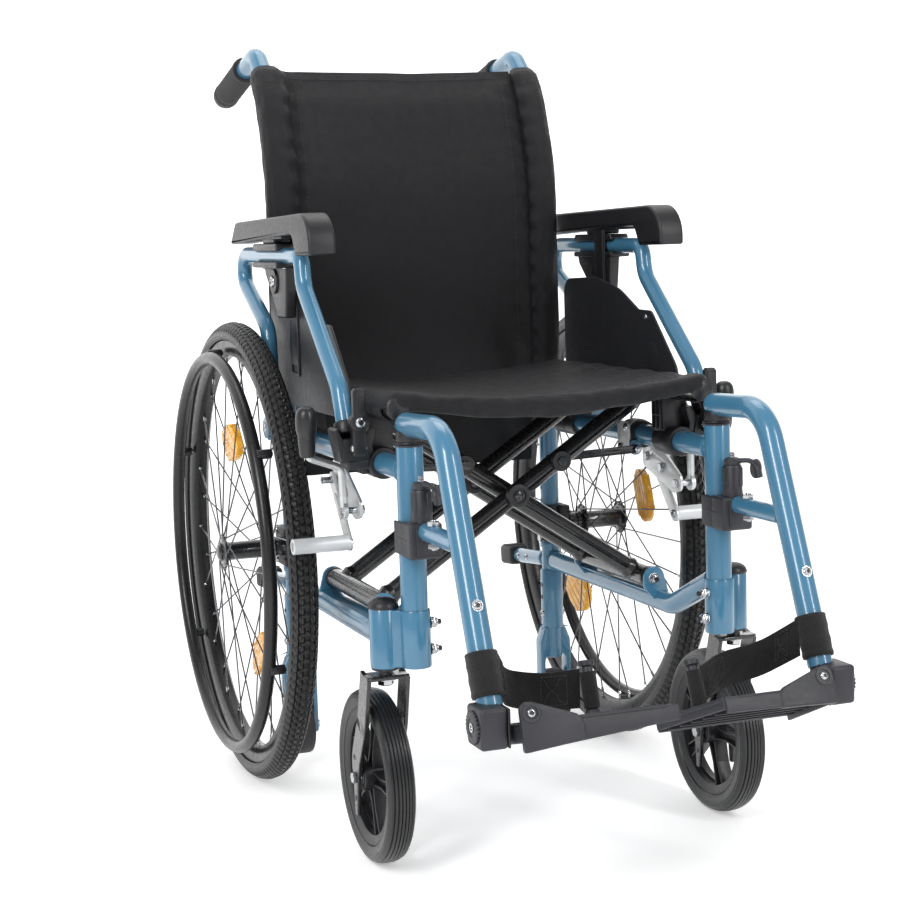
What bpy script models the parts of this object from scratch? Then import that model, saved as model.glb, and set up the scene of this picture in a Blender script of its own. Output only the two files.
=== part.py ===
"""Folding wheelchair: two side frames joined by a double cross brace, with sling seat
and back, spoked rear wheels with handrims, front casters, brakes, flip-back armrests and
swing-away footrests.  Metres, +Z up, the chair faces -Y, +X is the occupant's left.
Pieces of the occupant's right side end in _r (x < 0), of the left side in _l (x > 0)."""

import math

import bmesh
import bpy
from mathutils import Matrix, Vector

# ---------------------------------------------------------------- driving dimensions
Y_SHIFT = -0.0198       # puts the middle of the box at y = 0
HALF = 0.190            # frame tube plane, from the middle of the chair
POST_R = 0.015          # front post tube
BACK_R = 0.013          # back post tube
RAIL_R = 0.013          # upper and lower side rails
POST_Y = -0.235         # front post axis
POST_Z = (0.2470, 0.4860)
BACK_Y = 0.262          # back post axis, lower part
RAIL_Z = 0.456          # upper side rail
LOW_Z = 0.250           # lower side rail

FOLD_T0 = math.radians(33.5)      # angle of the brace arms when open
PIV_X, PIV_Z = 0.176, 0.280       # lower brace pivots
ARM_L1 = PIV_X / math.cos(FOLD_T0)
CEN_Z = PIV_Z + ARM_L1 * math.sin(FOLD_T0)
ARM_L2 = HALF / math.cos(FOLD_T0)
SEAT_Z = CEN_Z + ARM_L2 * math.sin(FOLD_T0)   # seat rail axis
SEAT_R = 0.0125
ARM_R = 0.0115
ARM_Y = {-1: (-0.070, 0.078), 1: (-0.044, 0.104)}   # front and rear arm of each brace
LINK_D = 0.070          # link bolt, from the middle along the arm
LINK_H = 0.159          # link pivot on the frame, above the lower brace pivot

WHEEL_R = 0.305         # 24 inch rear wheel
WHEEL_X, WHEEL_Y, WHEEL_Z = 0.2623, 0.245, 0.305
CAST_R = 0.100          # 8 inch front caster
CAST_X, CAST_Y = 0.2195, -0.166
STEM_X, STEM_Y = 0.2195, -0.214
ROLL_R, ROLL_Y, ROLL_Z = 0.038, 0.262, 0.052   # small transit roller

ARMREST_X = 0.229
ARMREST_PIVOT = (0.188, 0.4720)
LATCH_PIVOT = (-0.1545, 0.4740)
BRAKE_LEVER = (-0.100, 0.3980)
BRAKE_SHOE = (-0.020, 0.4250)
FOOT_X, FOOT_Y, FOOT_Z = 0.179, -0.496, 0.241
PEDAL_TILT = {-1: math.radians(16.0), 1: math.radians(24.0)}
WING = (0.190, -0.2700)

FINE = 0.68             # share of each shape's full facet count

# ---------------------------------------------------------------- tools
for old in list(bpy.data.objects):
    bpy.data.objects.remove(old, do_unlink=True)

scene = bpy.context.scene
PARTS = bpy.data.collections.new("wheelchair")
scene.collection.children.link(PARTS)


def material(name, rgb, rough, metal=0.0):
    m = bpy.data.materials.new(name)
    m.use_nodes = True
    b = m.node_tree.nodes["Principled BSDF"]
    b.inputs["Base Color"].default_value = (*rgb, 1)
    b.inputs["Roughness"].default_value = rough
    b.inputs["Metallic"].default_value = metal
    return m


BLUE = material("blue_paint", (0.09, 0.33, 0.55), 0.25)
BLACK = material("black_paint", (0.015, 0.015, 0.018), 0.30)
PLASTIC = material("charcoal_plastic", (0.035, 0.037, 0.045), 0.55)
RUBBER = material("black_rubber", (0.02, 0.02, 0.021), 0.80)
TYRE = material("tyre_rubber", (0.03, 0.03, 0.03), 0.85)
STEEL = material("zinc_steel", (0.62, 0.63, 0.64), 0.30, 1.0)
NYLON = material("black_nylon", (0.022, 0.022, 0.026), 0.75)
PAD = material("pad_foam", (0.055, 0.055, 0.058), 0.70)


def facets(n):
    return max(6, 2 * round(n * FINE / 2)) if n > 6 else n


def as_object(me, name="piece"):
    o = bpy.data.objects.new(name, me)
    PARTS.objects.link(o)
    return o


def tidy(me, weld=1e-6):
    bm = bmesh.new()
    bm.from_mesh(me)
    bmesh.ops.remove_doubles(bm, verts=bm.verts, dist=weld)
    bmesh.ops.dissolve_degenerate(bm, edges=bm.edges, dist=1e-7)
    bmesh.ops.recalc_face_normals(bm, faces=bm.faces)
    bm.to_mesh(me)
    bm.free()
    return me


def baked(o):
    """The object's evaluated shape as a plain mesh object in world space."""
    bpy.context.view_layer.update()
    dg = bpy.context.evaluated_depsgraph_get()
    me = bpy.data.meshes.new_from_object(o.evaluated_get(dg))
    me.transform(o.matrix_world)
    bpy.data.objects.remove(o, do_unlink=True)
    return as_object(tidy(me))


def cone(p0, p1, r0, r1, n=12, spin=0.0):
    p0, p1 = Vector(p0), Vector(p1)
    d = p1 - p0
    bm = bmesh.new()
    turn = d.to_track_quat("Z", "Y").to_matrix().to_4x4()
    bmesh.ops.create_cone(bm, cap_ends=True, segments=facets(n), radius1=r0, radius2=r1, depth=d.length,
                          matrix=Matrix.Translation((p0 + p1) / 2) @ turn @ Matrix.Rotation(spin, 4, "Z"))
    me = bpy.data.meshes.new("cone")
    bm.to_mesh(me)
    bm.free()
    return as_object(me)


def cyl(p0, p1, r, n=12, spin=0.0):
    return cone(p0, p1, r, r, n, spin)


def block(lo, hi):
    lo, hi = Vector(lo), Vector(hi)
    lo, hi = Vector(map(min, lo, hi)), Vector(map(max, lo, hi))
    bm = bmesh.new()
    size = hi - lo
    bmesh.ops.create_cube(bm, size=1.0, matrix=Matrix.Translation((lo + hi) / 2) @ Matrix.Diagonal((*size, 1)))
    me = bpy.data.meshes.new("block")
    bm.to_mesh(me)
    bm.free()
    return as_object(me)


def rounded(points, radii, step=math.radians(30)):
    """A polyline whose inner corners are arcs."""
    pts = [Vector(p) for p in points]
    out = [pts[0]]
    for i in range(1, len(pts) - 1):
        r = radii[i - 1]
        a, b = (pts[i - 1] - pts[i]).normalized(), (pts[i + 1] - pts[i]).normalized()
        inner = a.angle(b)
        turn = math.pi - inner
        if r <= 0 or turn < 1e-3:
            out.append(pts[i])
            continue
        back = r / math.tan(inner / 2)
        centre = pts[i] + (a + b).normalized() * r / math.sin(inner / 2)
        start = pts[i] + a * back - centre
        axis = start.cross(pts[i] + b * back - centre).normalized()
        n = max(2, math.ceil(turn / step))
        for k in range(n + 1):
            out.append(centre + Matrix.Rotation(turn * k / n, 3, axis) @ start)
    out.append(pts[-1])
    return out


def rod(points, r, sides=10, ring=False):
    cu = bpy.data.curves.new("rod", "CURVE")
    cu.dimensions = "3D"
    sp = cu.splines.new("POLY")
    sp.points.add(len(points) - 1)
    for k, p in enumerate(points):
        sp.points[k].co = (*p, 1)
    sp.use_cyclic_u = ring
    cu.bevel_depth = r
    cu.bevel_resolution = max(0, (facets(sides) - 4) // 2)
    cu.use_fill_caps = not ring
    return baked(as_object(cu))


PLANES = {"YZ": Matrix(((0, 0, 1), (1, 0, 0), (0, 1, 0))), "XZ": Matrix(((1, 0, 0), (0, 0, -1), (0, 1, 0))),
          "XY": Matrix.Identity(3)}


def plate(outline, plane, lo, hi, holes=()):
    """A flat outline in a row plane, from lo to hi along the plane's normal."""
    cu = bpy.data.curves.new("plate", "CURVE")
    cu.dimensions = "2D"
    cu.fill_mode = "BOTH"
    cu.extrude = abs(hi - lo) / 2
    for pts in (outline, *holes):
        sp = cu.splines.new("POLY")
        sp.points.add(len(pts) - 1)
        for k, p in enumerate(pts):
            sp.points[k].co = (p[0], p[1], 0, 1)
        sp.use_cyclic_u = True
    o = as_object(cu)
    m = PLANES[plane]
    mid = (lo + hi) / 2
    o.matrix_world = Matrix.Translation(m @ Vector((0, 0, -mid if plane == "XZ" else mid))) @ m.to_4x4()
    return baked(o)


def circle(cx, cy, r, n=12, a0=0.0):
    return [(cx + r * math.cos(a0 + 2 * math.pi * k / n), cy + r * math.sin(a0 + 2 * math.pi * k / n)) for k in range(n)]


def soft(points, radii, step=math.radians(30)):
    """A closed 2D outline with rounded corners."""
    pts = [Vector((*p, 0)) for p in points]
    n = len(pts)
    out = []
    for i in range(n):
        r = radii[i] if hasattr(radii, "__len__") else radii
        arc = rounded([pts[i - 1], pts[i], pts[(i + 1) % n]], [r], step)[1:-1]
        out += [(p.x, p.y) for p in arc]
    return out


def turned(profile, p0, direction, steps=24, closed=False, flat=False):
    """A profile of (radius, distance along the axis) turned about the axis from p0. With flat, a facet is lowest, not a corner."""
    me = bpy.data.meshes.new("turned")
    n = len(profile)
    edges = [(k, k + 1) for k in range(n - 1)] + ([(n - 1, 0)] if closed else [])
    me.from_pydata([(r, 0, h) for r, h in profile], edges, [])
    o = as_object(me)
    sc = o.modifiers.new("screw", "SCREW")
    sc.steps = sc.render_steps = facets(steps)
    sc.use_merge_vertices = True
    sc.merge_threshold = 1e-5
    spin = Matrix.Rotation(math.pi / facets(steps) if flat else 0.0, 4, "Z")
    o.matrix_world = Matrix.Translation(p0) @ Vector(direction).to_track_quat("Z", "Y").to_matrix().to_4x4() @ spin
    return baked(o)


def combine(a, others, how):
    for b in others:
        m = a.modifiers.new(how, "BOOLEAN")
        m.operation = how
        m.object = b
        m.solver = "EXACT"
        b.hide_render = True
        b.display_type = "WIRE"
    out = baked(a)
    for b in others:
        bpy.data.objects.remove(b, do_unlink=True)
    return out


def join(a, *others):
    return combine(a, others, "UNION")


def cut(a, *others):
    return combine(a, others, "DIFFERENCE")


def group(objects):
    """Several closed shapes that don't touch, as one operand of a join or cut."""
    bm = bmesh.new()
    for o in objects:
        bm.from_mesh(o.data)
        bpy.data.objects.remove(o, do_unlink=True)
    me = bpy.data.meshes.new("group")
    bm.to_mesh(me)
    bm.free()
    return as_object(me)


# ---------------------------------------------------------------- joint empties
EMPTIES = {}


def empty(name, pos, parent=None):
    e = bpy.data.objects.new(name, None)
    e.empty_display_size = 0.03
    PARTS.objects.link(e)
    base = Vector((0, 0, 0))
    if parent:
        e.parent = EMPTIES[parent][0]
        base = EMPTIES[parent][1]
    e.location = Vector(pos) - base
    EMPTIES[name] = (e, Vector(pos))
    return e


root = empty("chair", (0, 0, 0))
root.location = (0, Y_SHIFT, 0)


def node(name, o, mat, parent="chair"):
    o.name = name
    o.data.name = name
    o.data.materials.clear()
    o.data.materials.append(mat)
    e, pos = EMPTIES[parent]
    o.parent = e
    o.location = -pos
    for p in o.data.polygons:
        p.use_smooth = True
    o.data.set_sharp_from_angle(angle=math.radians(35))
    return o


# ---------------------------------------------------------------- shared curves
def back_path(s, top=True):
    """Axis of the back post, from its foot up to the end of the push handle."""
    pts = [(s * HALF, BACK_Y, 0.122), (s * HALF, BACK_Y, 0.795), (s * HALF, 0.301, 0.918),
           (s * HALF, 0.352, 0.9665), (s * HALF, 0.534, 0.9285)]
    return rounded(pts, [0.30, 0.12, 0.030])


def side_of(s):
    return "_l" if s > 0 else "_r"


# ---------------------------------------------------------------- frame pieces
def side_frame(s):
    x = s * HALF
    tube = cyl((x, POST_Y, POST_Z[0]), (x, POST_Y, POST_Z[1]), POST_R, 16)
    rail = cyl((x, POST_Y, RAIL_Z), (x, BACK_Y - BACK_R - 0.0004, RAIL_Z), RAIL_R, 12)
    rest = block((s * 0.1945, -0.1450, 0.4602), (s * 0.2400, -0.1130, 0.4845))
    socket = block((s * 0.1945, 0.1720, 0.4470), (s * 0.2158, 0.2040, 0.4890))
    pin = cyl((s * 0.2100, *ARMREST_PIVOT), (s * 0.2425, *ARMREST_PIVOT), 0.0050, 10)
    cradles = [block((s * 0.1770, y0, 0.4600), (s * 0.2030, y0 + 0.028, 0.5165)) for y0 in (-0.128, 0.142)]
    yl = -0.0515 if s > 0 else -0.0630      # lug and pin of the stay link
    lug = plate(soft([(s * 0.1850, 0.4500), (s * 0.1685, 0.4500), (s * 0.1685, 0.4310), (s * 0.1835, 0.4310)], [0.002, 0.004, 0.007, 0.007]),
                "XZ", yl + 0.0030, yl + 0.0070)
    stay = cyl((s * PIV_X, yl + 0.0050, PIV_Z + LINK_H), (s * PIV_X, yl - 0.0040, PIV_Z + LINK_H), 0.0033, 8)
    o = join(tube, rail, rest, socket, pin, lug, stay, *cradles)
    bore = cyl((x, POST_Y, 0.4380), (x, POST_Y, 0.4900), 0.0112, 14)
    seats = cyl((x, -0.20, SEAT_Z), (x, 0.20, SEAT_Z), SEAT_R + 0.0014, 16)
    return cut(o, bore, seats)


def lower_rail(s):
    x = s * HALF
    path = rounded([(x, POST_Y + 0.004, 0.3028), (x, -0.118, LOW_Z), (x, BACK_Y - BACK_R - 0.0004, LOW_Z)], [0.05])
    tube = cut(rod(path, RAIL_R, 12), cyl((x, POST_Y, 0.2), (x, POST_Y, 0.4), POST_R + 0.0012, 16))
    lugs, pins = [], []
    for y0, y1, py in ((-0.0900, -0.0858, -0.0740), (0.1183, 0.1225, 0.1065)):
        lug = soft([(s * 0.2000, 0.2520), (s * 0.1880, 0.2930), (s * 0.1640, 0.2930), (s * 0.1640, 0.2700), (s * 0.1780, 0.2520)],
                   [0.004, 0.012, 0.012, 0.004, 0.002])
        lugs.append(plate(lug, "XZ", y0, y1))
        pins.append(cyl((s * PIV_X, (y0 + y1) / 2, PIV_Z), (s * PIV_X, py, PIV_Z), 0.0050, 10))
    return join(tube, *lugs, *pins)


def back_post(s):
    x = s * HALF
    tube = rod(back_path(s), BACK_R, 12)
    sleeve = cyl((x, BACK_Y, 0.155), (x, BACK_Y, 0.2360), 0.0150, 12)
    step = rod([(x, BACK_Y, LOW_Z), (x, 0.300, LOW_Z - 0.004), (x, 0.4080, LOW_Z - 0.014)], 0.0105, 10)
    crown = block((x - 0.0215, BACK_Y - 0.0095, 0.1080), (x + 0.0215, BACK_Y + 0.0095, 0.1240))
    arms = [block((x + k * 0.0215, BACK_Y - 0.0095, 0.0430), (x + k * 0.0165, BACK_Y + 0.0095, 0.1150)) for k in (-1, 1)]
    axle = cyl((x - 0.0240, ROLL_Y, ROLL_Z), (x + 0.0240, ROLL_Y, ROLL_Z), 0.0035, 10)
    return join(tube, sleeve, step, crown, *arms, axle)


def push_grip(s):
    path = back_path(s)
    end = Vector(path[-1])
    d = (end - Vector(path[-2])).normalized()
    start = end - d * 0.122
    o = turned([(0.0, 0.0), (0.0155, 0.0), (0.0185, 0.004), (0.0170, 0.030), (0.0178, 0.080), (0.0175, 0.122),
                (0.0160, 0.133), (0.0110, 0.140), (0.0, 0.1415)], start, d, 16)
    bore = cyl(start - d * 0.01, end + d * 0.0006, BACK_R + 0.0012, 16)
    return cut(o, bore)


def step_cap(s):
    x = s * HALF
    d = Vector((0, 0.108, -0.010)).normalized()
    p = Vector((x, 0.4080, LOW_Z - 0.014))
    o = turned([(0.0, -0.0), (0.0150, 0.0), (0.0155, 0.036), (0.0135, 0.043), (0.0, 0.0450)], p - d * 0.030, d, 14)
    return cut(o, cyl(p - d * 0.05, p + d * 0.0006, 0.0117, 14))


def caster_housing(s):
    c = (s * STEM_X, STEM_Y)
    tube = cyl((*c, 0.2360), (*c, 0.3040), 0.0165, 16)
    dome = cone((*c, 0.3035), (*c, 0.3150), 0.0165, 0.0080, 16)
    lo, hi = Vector((s * HALF, POST_Y, 0)), Vector((*c, 0))
    along = (hi - lo).normalized()
    web = block((-0.0095, 0, 0.2380), (0.0095, (hi - lo).length, 0.3020))
    web.data.transform(Matrix.Translation(lo) @ Matrix.Rotation(math.atan2(-along.x, along.y), 4, "Z"))
    o = join(tube, dome, web)
    post = cyl((s * HALF, POST_Y, 0.2), (s * HALF, POST_Y, 0.4), POST_R + 0.0010, 16)
    bore = cyl((*c, 0.2300), (*c, 0.2920), 0.0088, 12)
    rail = cyl((s * HALF, -0.2450, 0.3086), (s * HALF, -0.118, LOW_Z), RAIL_R + 0.0020, 12)
    return cut(o, post, bore, rail)


def caster_fork(s):
    c = (s * STEM_X, STEM_Y)
    stem = cyl((*c, 0.2250), (*c, 0.2900), 0.0080, 12)
    crown = block((c[0] - 0.0250, STEM_Y - 0.0160, 0.2235), (c[0] + 0.0250, STEM_Y + 0.0160, 0.2285))
    nut = cyl((*c, 0.2160), (*c, 0.2240), 0.0095, 6)
    side = soft([(-0.2300, 0.2280), (-0.1980, 0.2280), (-0.1520, 0.1200), (-0.1530, 0.0560), (-0.1790, 0.0560), (-0.1800, 0.1150)],
                [0.002, 0.002, 0.03, 0.008, 0.008, 0.03])
    holes = [circle(CAST_Y, 0.1240, 0.0035, 8), circle(CAST_Y, 0.0760, 0.0035, 8)]
    arms = [plate(side, "YZ", c[0] + k * 0.0205, c[0] + k * 0.0250, holes) for k in (-1, 1)]
    axle = cyl((c[0] - 0.0290, CAST_Y, CAST_R), (c[0] + 0.0290, CAST_Y, CAST_R), 0.0045, 10)
    return join(crown, stem, nut, *arms, axle)


def caster_tyre(s):
    tread = CAST_R / math.cos(math.pi / facets(36))
    prof = [(0.0790, -0.0140), (0.0900, -0.0160), (0.0970, -0.0120), (tread, -0.0045), (tread, 0.0045),
            (0.0970, 0.0120), (0.0900, 0.0160), (0.0790, 0.0140)]
    return turned(prof, (s * CAST_X, CAST_Y, CAST_R), (1, 0, 0), 36, True, True)


def caster_rim(s):
    at = (s * CAST_X, CAST_Y, CAST_R)
    rim = turned([(0.0690, -0.0110), (0.0786, -0.0130), (0.0786, 0.0130), (0.0690, 0.0110)], at, (1, 0, 0), 36, True, True)
    hub = turned([(0.0051, -0.0185), (0.0160, -0.0185), (0.0160, 0.0185), (0.0051, 0.0185)], at, (1, 0, 0), 12, True)
    spokes = []
    for k in range(5):
        b = block((-0.0045, -0.0080, 0.0120), (0.0045, 0.0080, 0.0730))
        b.data.transform(Matrix.Translation(at) @ Matrix.Rotation(2 * math.pi * k / 5 + 0.3, 4, "X"))
        spokes.append(b)
    return join(rim, hub, *spokes)


# ---------------------------------------------------------------- rear wheel
def rear_tyre(s):
    tread = WHEEL_R / math.cos(math.pi / facets(48))
    prof = [(0.2752, -0.0130), (0.2860, -0.0174), (0.2985, -0.0135), (tread, -0.0040),
            (tread, 0.0040), (0.2985, 0.0135), (0.2860, 0.0174), (0.2752, 0.0130)]
    return turned(prof, (s * WHEEL_X, WHEEL_Y, WHEEL_Z), (1, 0, 0), 48, True, True)


def rear_rim(s):
    prof = [(0.2600, -0.0060), (0.2748, -0.0120), (0.2748, 0.0120), (0.2600, 0.0060)]
    return turned(prof, (s * WHEEL_X, WHEEL_Y, WHEEL_Z), (1, 0, 0), 48, True, True)


def rear_hub(s):
    at = Vector((0, WHEEL_Y, WHEEL_Z))
    prof = [(0.0068, 0.2215), (0.0125, 0.2215), (0.0125, 0.2300), (0.0215, 0.2300), (0.0215, 0.2335), (0.0120, 0.2360),
            (0.0120, 0.2870), (0.0215, 0.2895), (0.0215, 0.2930), (0.0125, 0.2930), (0.0068, 0.2930)]
    hub = turned([(r, s * h) for r, h in prof], at, (1, 0, 0), 16, True)
    wires = []
    for k in range(36):
        inner = k % 2
        lean = 1 if (k // 2) % 2 else -1
        a_rim = 2 * math.pi * k / 36
        a_hub = a_rim + lean * math.radians(62)
        xh = (0.2318 if inner else 0.2912) + lean * 0.0022
        xr = WHEEL_X + (-0.0025 if inner else 0.0025)
        h = at + Vector((s * xh, 0.0180 * math.cos(a_hub), 0.0180 * math.sin(a_hub)))
        r = at + Vector((s * xr, 0.2580 * math.cos(a_rim), 0.2580 * math.sin(a_rim)))
        wires.append(cyl(h, r, 0.0012, 3))
    return join(hub, group(wires))


def handrim(s):
    at = Vector((s * 0.2955, WHEEL_Y, WHEEL_Z))
    ring = [at + Vector((0, 0.2575 * math.cos(a), 0.2575 * math.sin(a))) for a in (2 * math.pi * k / 28 for k in range(28))]
    tube = rod(ring, 0.0085, 8, True)
    posts = []
    for k in range(6):
        a = math.radians(25 + 60 * k)
        off = Vector((0, 0.2630 * math.cos(a), 0.2630 * math.sin(a)))
        posts.append(cyl(at + off, at + off - Vector((s * 0.0207, 0, 0)), 0.0042, 8))
    return join(tube, group(posts))


def axle_bracket(s):
    clampb = block((s * 0.1700, 0.2400, 0.2780), (s * 0.2100, 0.2840, 0.3300))
    boss = cyl((s * 0.2050, WHEEL_Y, WHEEL_Z), (s * 0.2208, WHEEL_Y, WHEEL_Z), 0.0125, 14)
    axle = cyl((s * 0.2150, WHEEL_Y, WHEEL_Z), (s * 0.2960, WHEEL_Y, WHEEL_Z), 0.0061, 12)
    button = cone((s * 0.2935, WHEEL_Y, WHEEL_Z), (s * 0.3000, WHEEL_Y, WHEEL_Z), 0.0110, 0.0060, 14)
    o = join(clampb, boss, axle, button)
    return cut(o, cyl((s * HALF, BACK_Y, 0.26), (s * HALF, BACK_Y, 0.35), BACK_R + 0.0012, 16))


def transit_wheel(s):
    prof = [(0.0042, -0.0120), (0.0340, -0.0120), (ROLL_R, -0.0080), (ROLL_R, 0.0080), (0.0340, 0.0120), (0.0042, 0.0120)]
    return turned(prof, (s * HALF, ROLL_Y, ROLL_Z), (1, 0, 0), 24, True)


# ---------------------------------------------------------------- armrest
def armrest_path(s):
    x = s * ARMREST_X
    py, pz = ARMREST_PIVOT
    return rounded([(x, -0.1300, 0.4900), (x, -0.1080, 0.5420), (x, 0.0230, 0.6560), (x, 0.0300, 0.6930),
                    (x, 0.3870, 0.6985), (x, 0.1990, 0.6000), (x, py, pz - 0.016)],
                   [0.05, 0.035, 0.016, 0.0235, 0.035])


def armrest_frame(s):
    tube = rod(armrest_path(s), 0.0102, 10)
    bore = cyl((s * 0.20, *ARMREST_PIVOT), (s * 0.26, *ARMREST_PIVOT), 0.0056, 12)
    return cut(tube, bore)


def side_guard(s):
    out = soft([(0.2420, 0.5020), (0.2420, 0.6500), (0.1350, 0.6530), (0.0630, 0.6380), (0.0080, 0.6120), (-0.0280, 0.6110),
                (-0.0980, 0.5400), (-0.0980, 0.5020)], [0.006, 0.022, 0.04, 0.04, 0.01, 0.015, 0.01, 0.006])
    holes = [[(0.1235, 0.5580), (0.1305, 0.5580), (0.1305, 0.6360), (0.1235, 0.6360)]]
    panel = plate(out, "YZ", s * 0.2108, s * 0.2132, holes)
    rails = [block((s * 0.2125, y0, 0.5500), (s * 0.2156, y0 + 0.0035, 0.6400)) for y0 in (0.1095, 0.1410)]
    foot = block((s * 0.2125, 0.1095, 0.5460), (s * 0.2156, 0.1445, 0.5510))
    return join(panel, *rails, foot)


def arm_pad(s):
    x0, x1 = s * 0.2122, s * 0.2442
    side = soft([(-0.0560, 0.6940), (-0.0560, 0.7440), (0.2930, 0.7400), (0.3270, 0.7120), (0.0140, 0.7220), (0.0060, 0.6940)],
                [0.004, 0.012, 0.012, 0.003, 0.010, 0.004])
    pad = plate(side, "YZ", x0, x1)
    stem = block((s * 0.2136, 0.1140, 0.5560), (s * 0.2156, 0.1400, 0.7300))
    neck = block((s * 0.2122, 0.0800, 0.7120), (s * 0.2442, 0.1900, 0.7260))
    o = join(pad, stem, neck)
    tube = rod([Vector(p) + Vector((0, 0, 0)) for p in ((s * ARMREST_X, 0.0, 0.6930), (s * ARMREST_X, 0.40, 0.6985))], 0.0137, 12)
    return cut(o, tube)


def arm_latch(s):
    py, pz = LATCH_PIVOT
    side = soft([(py - 0.0078, pz - 0.0078), (py - 0.0078, 0.5445), (py + 0.0078, 0.5445), (py + 0.0078, pz - 0.0078)],
                [0.0077, 0.0070, 0.0070, 0.0077])
    return plate(side, "YZ", s * 0.2120, s * 0.2320)


# ---------------------------------------------------------------- brake
def brake_bracket(s):
    x = s * HALF
    saddle = cyl((x, -0.0440, RAIL_Z), (x, -0.0060, RAIL_Z), 0.0175, 14)
    ear = soft([(-0.0060, 0.4480), (-0.0060, 0.4120), (-0.0900, 0.3850), (-0.1100, 0.3900), (-0.1100, 0.4080), (-0.0440, 0.4480)],
               [0.004, 0.01, 0.006, 0.008, 0.008, 0.01])
    wing = plate(ear, "YZ", s * 0.2060, s * 0.2105)
    web = block((s * 0.1960, -0.0420, 0.4400), (s * 0.2090, -0.0080, 0.4470))
    pins = [cyl((s * 0.2070, *p), (s * 0.2290, *p), 0.0040, 10) for p in (BRAKE_LEVER, BRAKE_SHOE)]
    o = join(saddle, web, wing, *pins)
    return cut(o, cyl((x, -0.10, RAIL_Z), (x, 0.05, RAIL_Z), RAIL_R + 0.0012, 16))


def brake_lever(s):
    py, pz = BRAKE_LEVER
    boss = cyl((s * 0.2230, py, pz), (s * 0.2285, py, pz), 0.0095, 14)
    path = rounded([(s * 0.2260, py, pz + 0.004), (s * 0.2270, py + 0.002, 0.4480), (s * 0.2700, -0.1080, 0.4640), (s * 0.2700, -0.1080, 0.4900)],
                   [0.012, 0.010])
    arm = rod(path, 0.0042, 8)
    grip = turned([(0.0, 0.4640), (0.0085, 0.4640), (0.0100, 0.4680), (0.0085, 0.4900), (0.0115, 0.5080), (0.0100, 0.5170), (0.0, 0.5210)],
                  (s * 0.2700, -0.1080, 0), (0, 0, 1), 12)
    o = join(boss, arm, grip)
    return cut(o, cyl((s * 0.20, py, pz), (s * 0.25, py, pz), 0.0046, 12))


def brake_shoe(s):
    py, pz = BRAKE_SHOE
    sy, sz = -0.0780, 0.3570
    d = Vector((sy - py, sz - pz)).normalized()
    n = Vector((-d.y, d.x))
    q = [Vector((py, pz)) - d * 0.010 + n * 0.009, Vector((py, pz)) - d * 0.010 - n * 0.009,
         Vector((sy, sz)) + d * 0.010 - n * 0.009, Vector((sy, sz)) + d * 0.010 + n * 0.009]
    arm = plate(soft([tuple(v) for v in q], 0.008), "YZ", s * 0.2125, s * 0.2165)
    tube = cyl((s * 0.2150, sy, sz), (s * 0.2840, sy, sz), 0.0090, 14)
    o = join(arm, tube)
    return cut(o, cyl((s * 0.20, py, pz), (s * 0.25, py, pz), 0.0046, 12))


# ---------------------------------------------------------------- footrest
def hanger_path(s):
    x = s * HALF
    return rounded([(x, POST_Y, 0.5070), (x, -0.3450, 0.5110), (x, -0.4560, 0.2420)], [0.055])


def hanger(s):
    x = s * HALF
    tube = rod(hanger_path(s), 0.0135, 12)
    bush = cyl((x, POST_Y, 0.4866), (x, POST_Y, 0.5050), 0.0150, 14)
    pin = cyl((x, POST_Y, 0.4480), (x, POST_Y, 0.4900), 0.0104, 14)
    stub = cyl((x, -0.2834, 0.3950), (x, -0.3880, 0.3950), 0.0100, 12)
    boot = block((s * 0.1805, -0.4890, 0.2060), (s * 0.2130, -0.4480, 0.2500))
    return join(tube, bush, pin, stub, boot)


def hanger_clamp(s):
    x = s * HALF
    hook = block((x - 0.0190, -0.2830, 0.3650), (x + 0.0190, -0.2330, 0.4040))
    barrel = cyl((x, WING[1], 0.4035), (x, WING[1], 0.4400), 0.0105, 12)
    o = join(hook, barrel)
    return cut(o, cyl((x, POST_Y, 0.34), (x, POST_Y, 0.43), POST_R + 0.0014, 22))


def hanger_lever(s):
    x = s * HALF
    hub = cyl((x, WING[1], 0.4404), (x, WING[1], 0.4480), 0.0090, 12)
    wing = block((-0.0040, -0.0330, 0.4250), (0.0040, -0.0120, 0.4480))
    arm = block((-0.0040, -0.0330, 0.4415), (0.0040, -0.0050, 0.4480))
    turn = math.radians(20) if s < 0 else math.radians(48)
    for b in (wing, arm):
        b.data.transform(Matrix.Translation((x, WING[1], 0)) @ Matrix.Rotation(turn, 4, "Z"))
    return join(hub, wing, arm)


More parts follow.
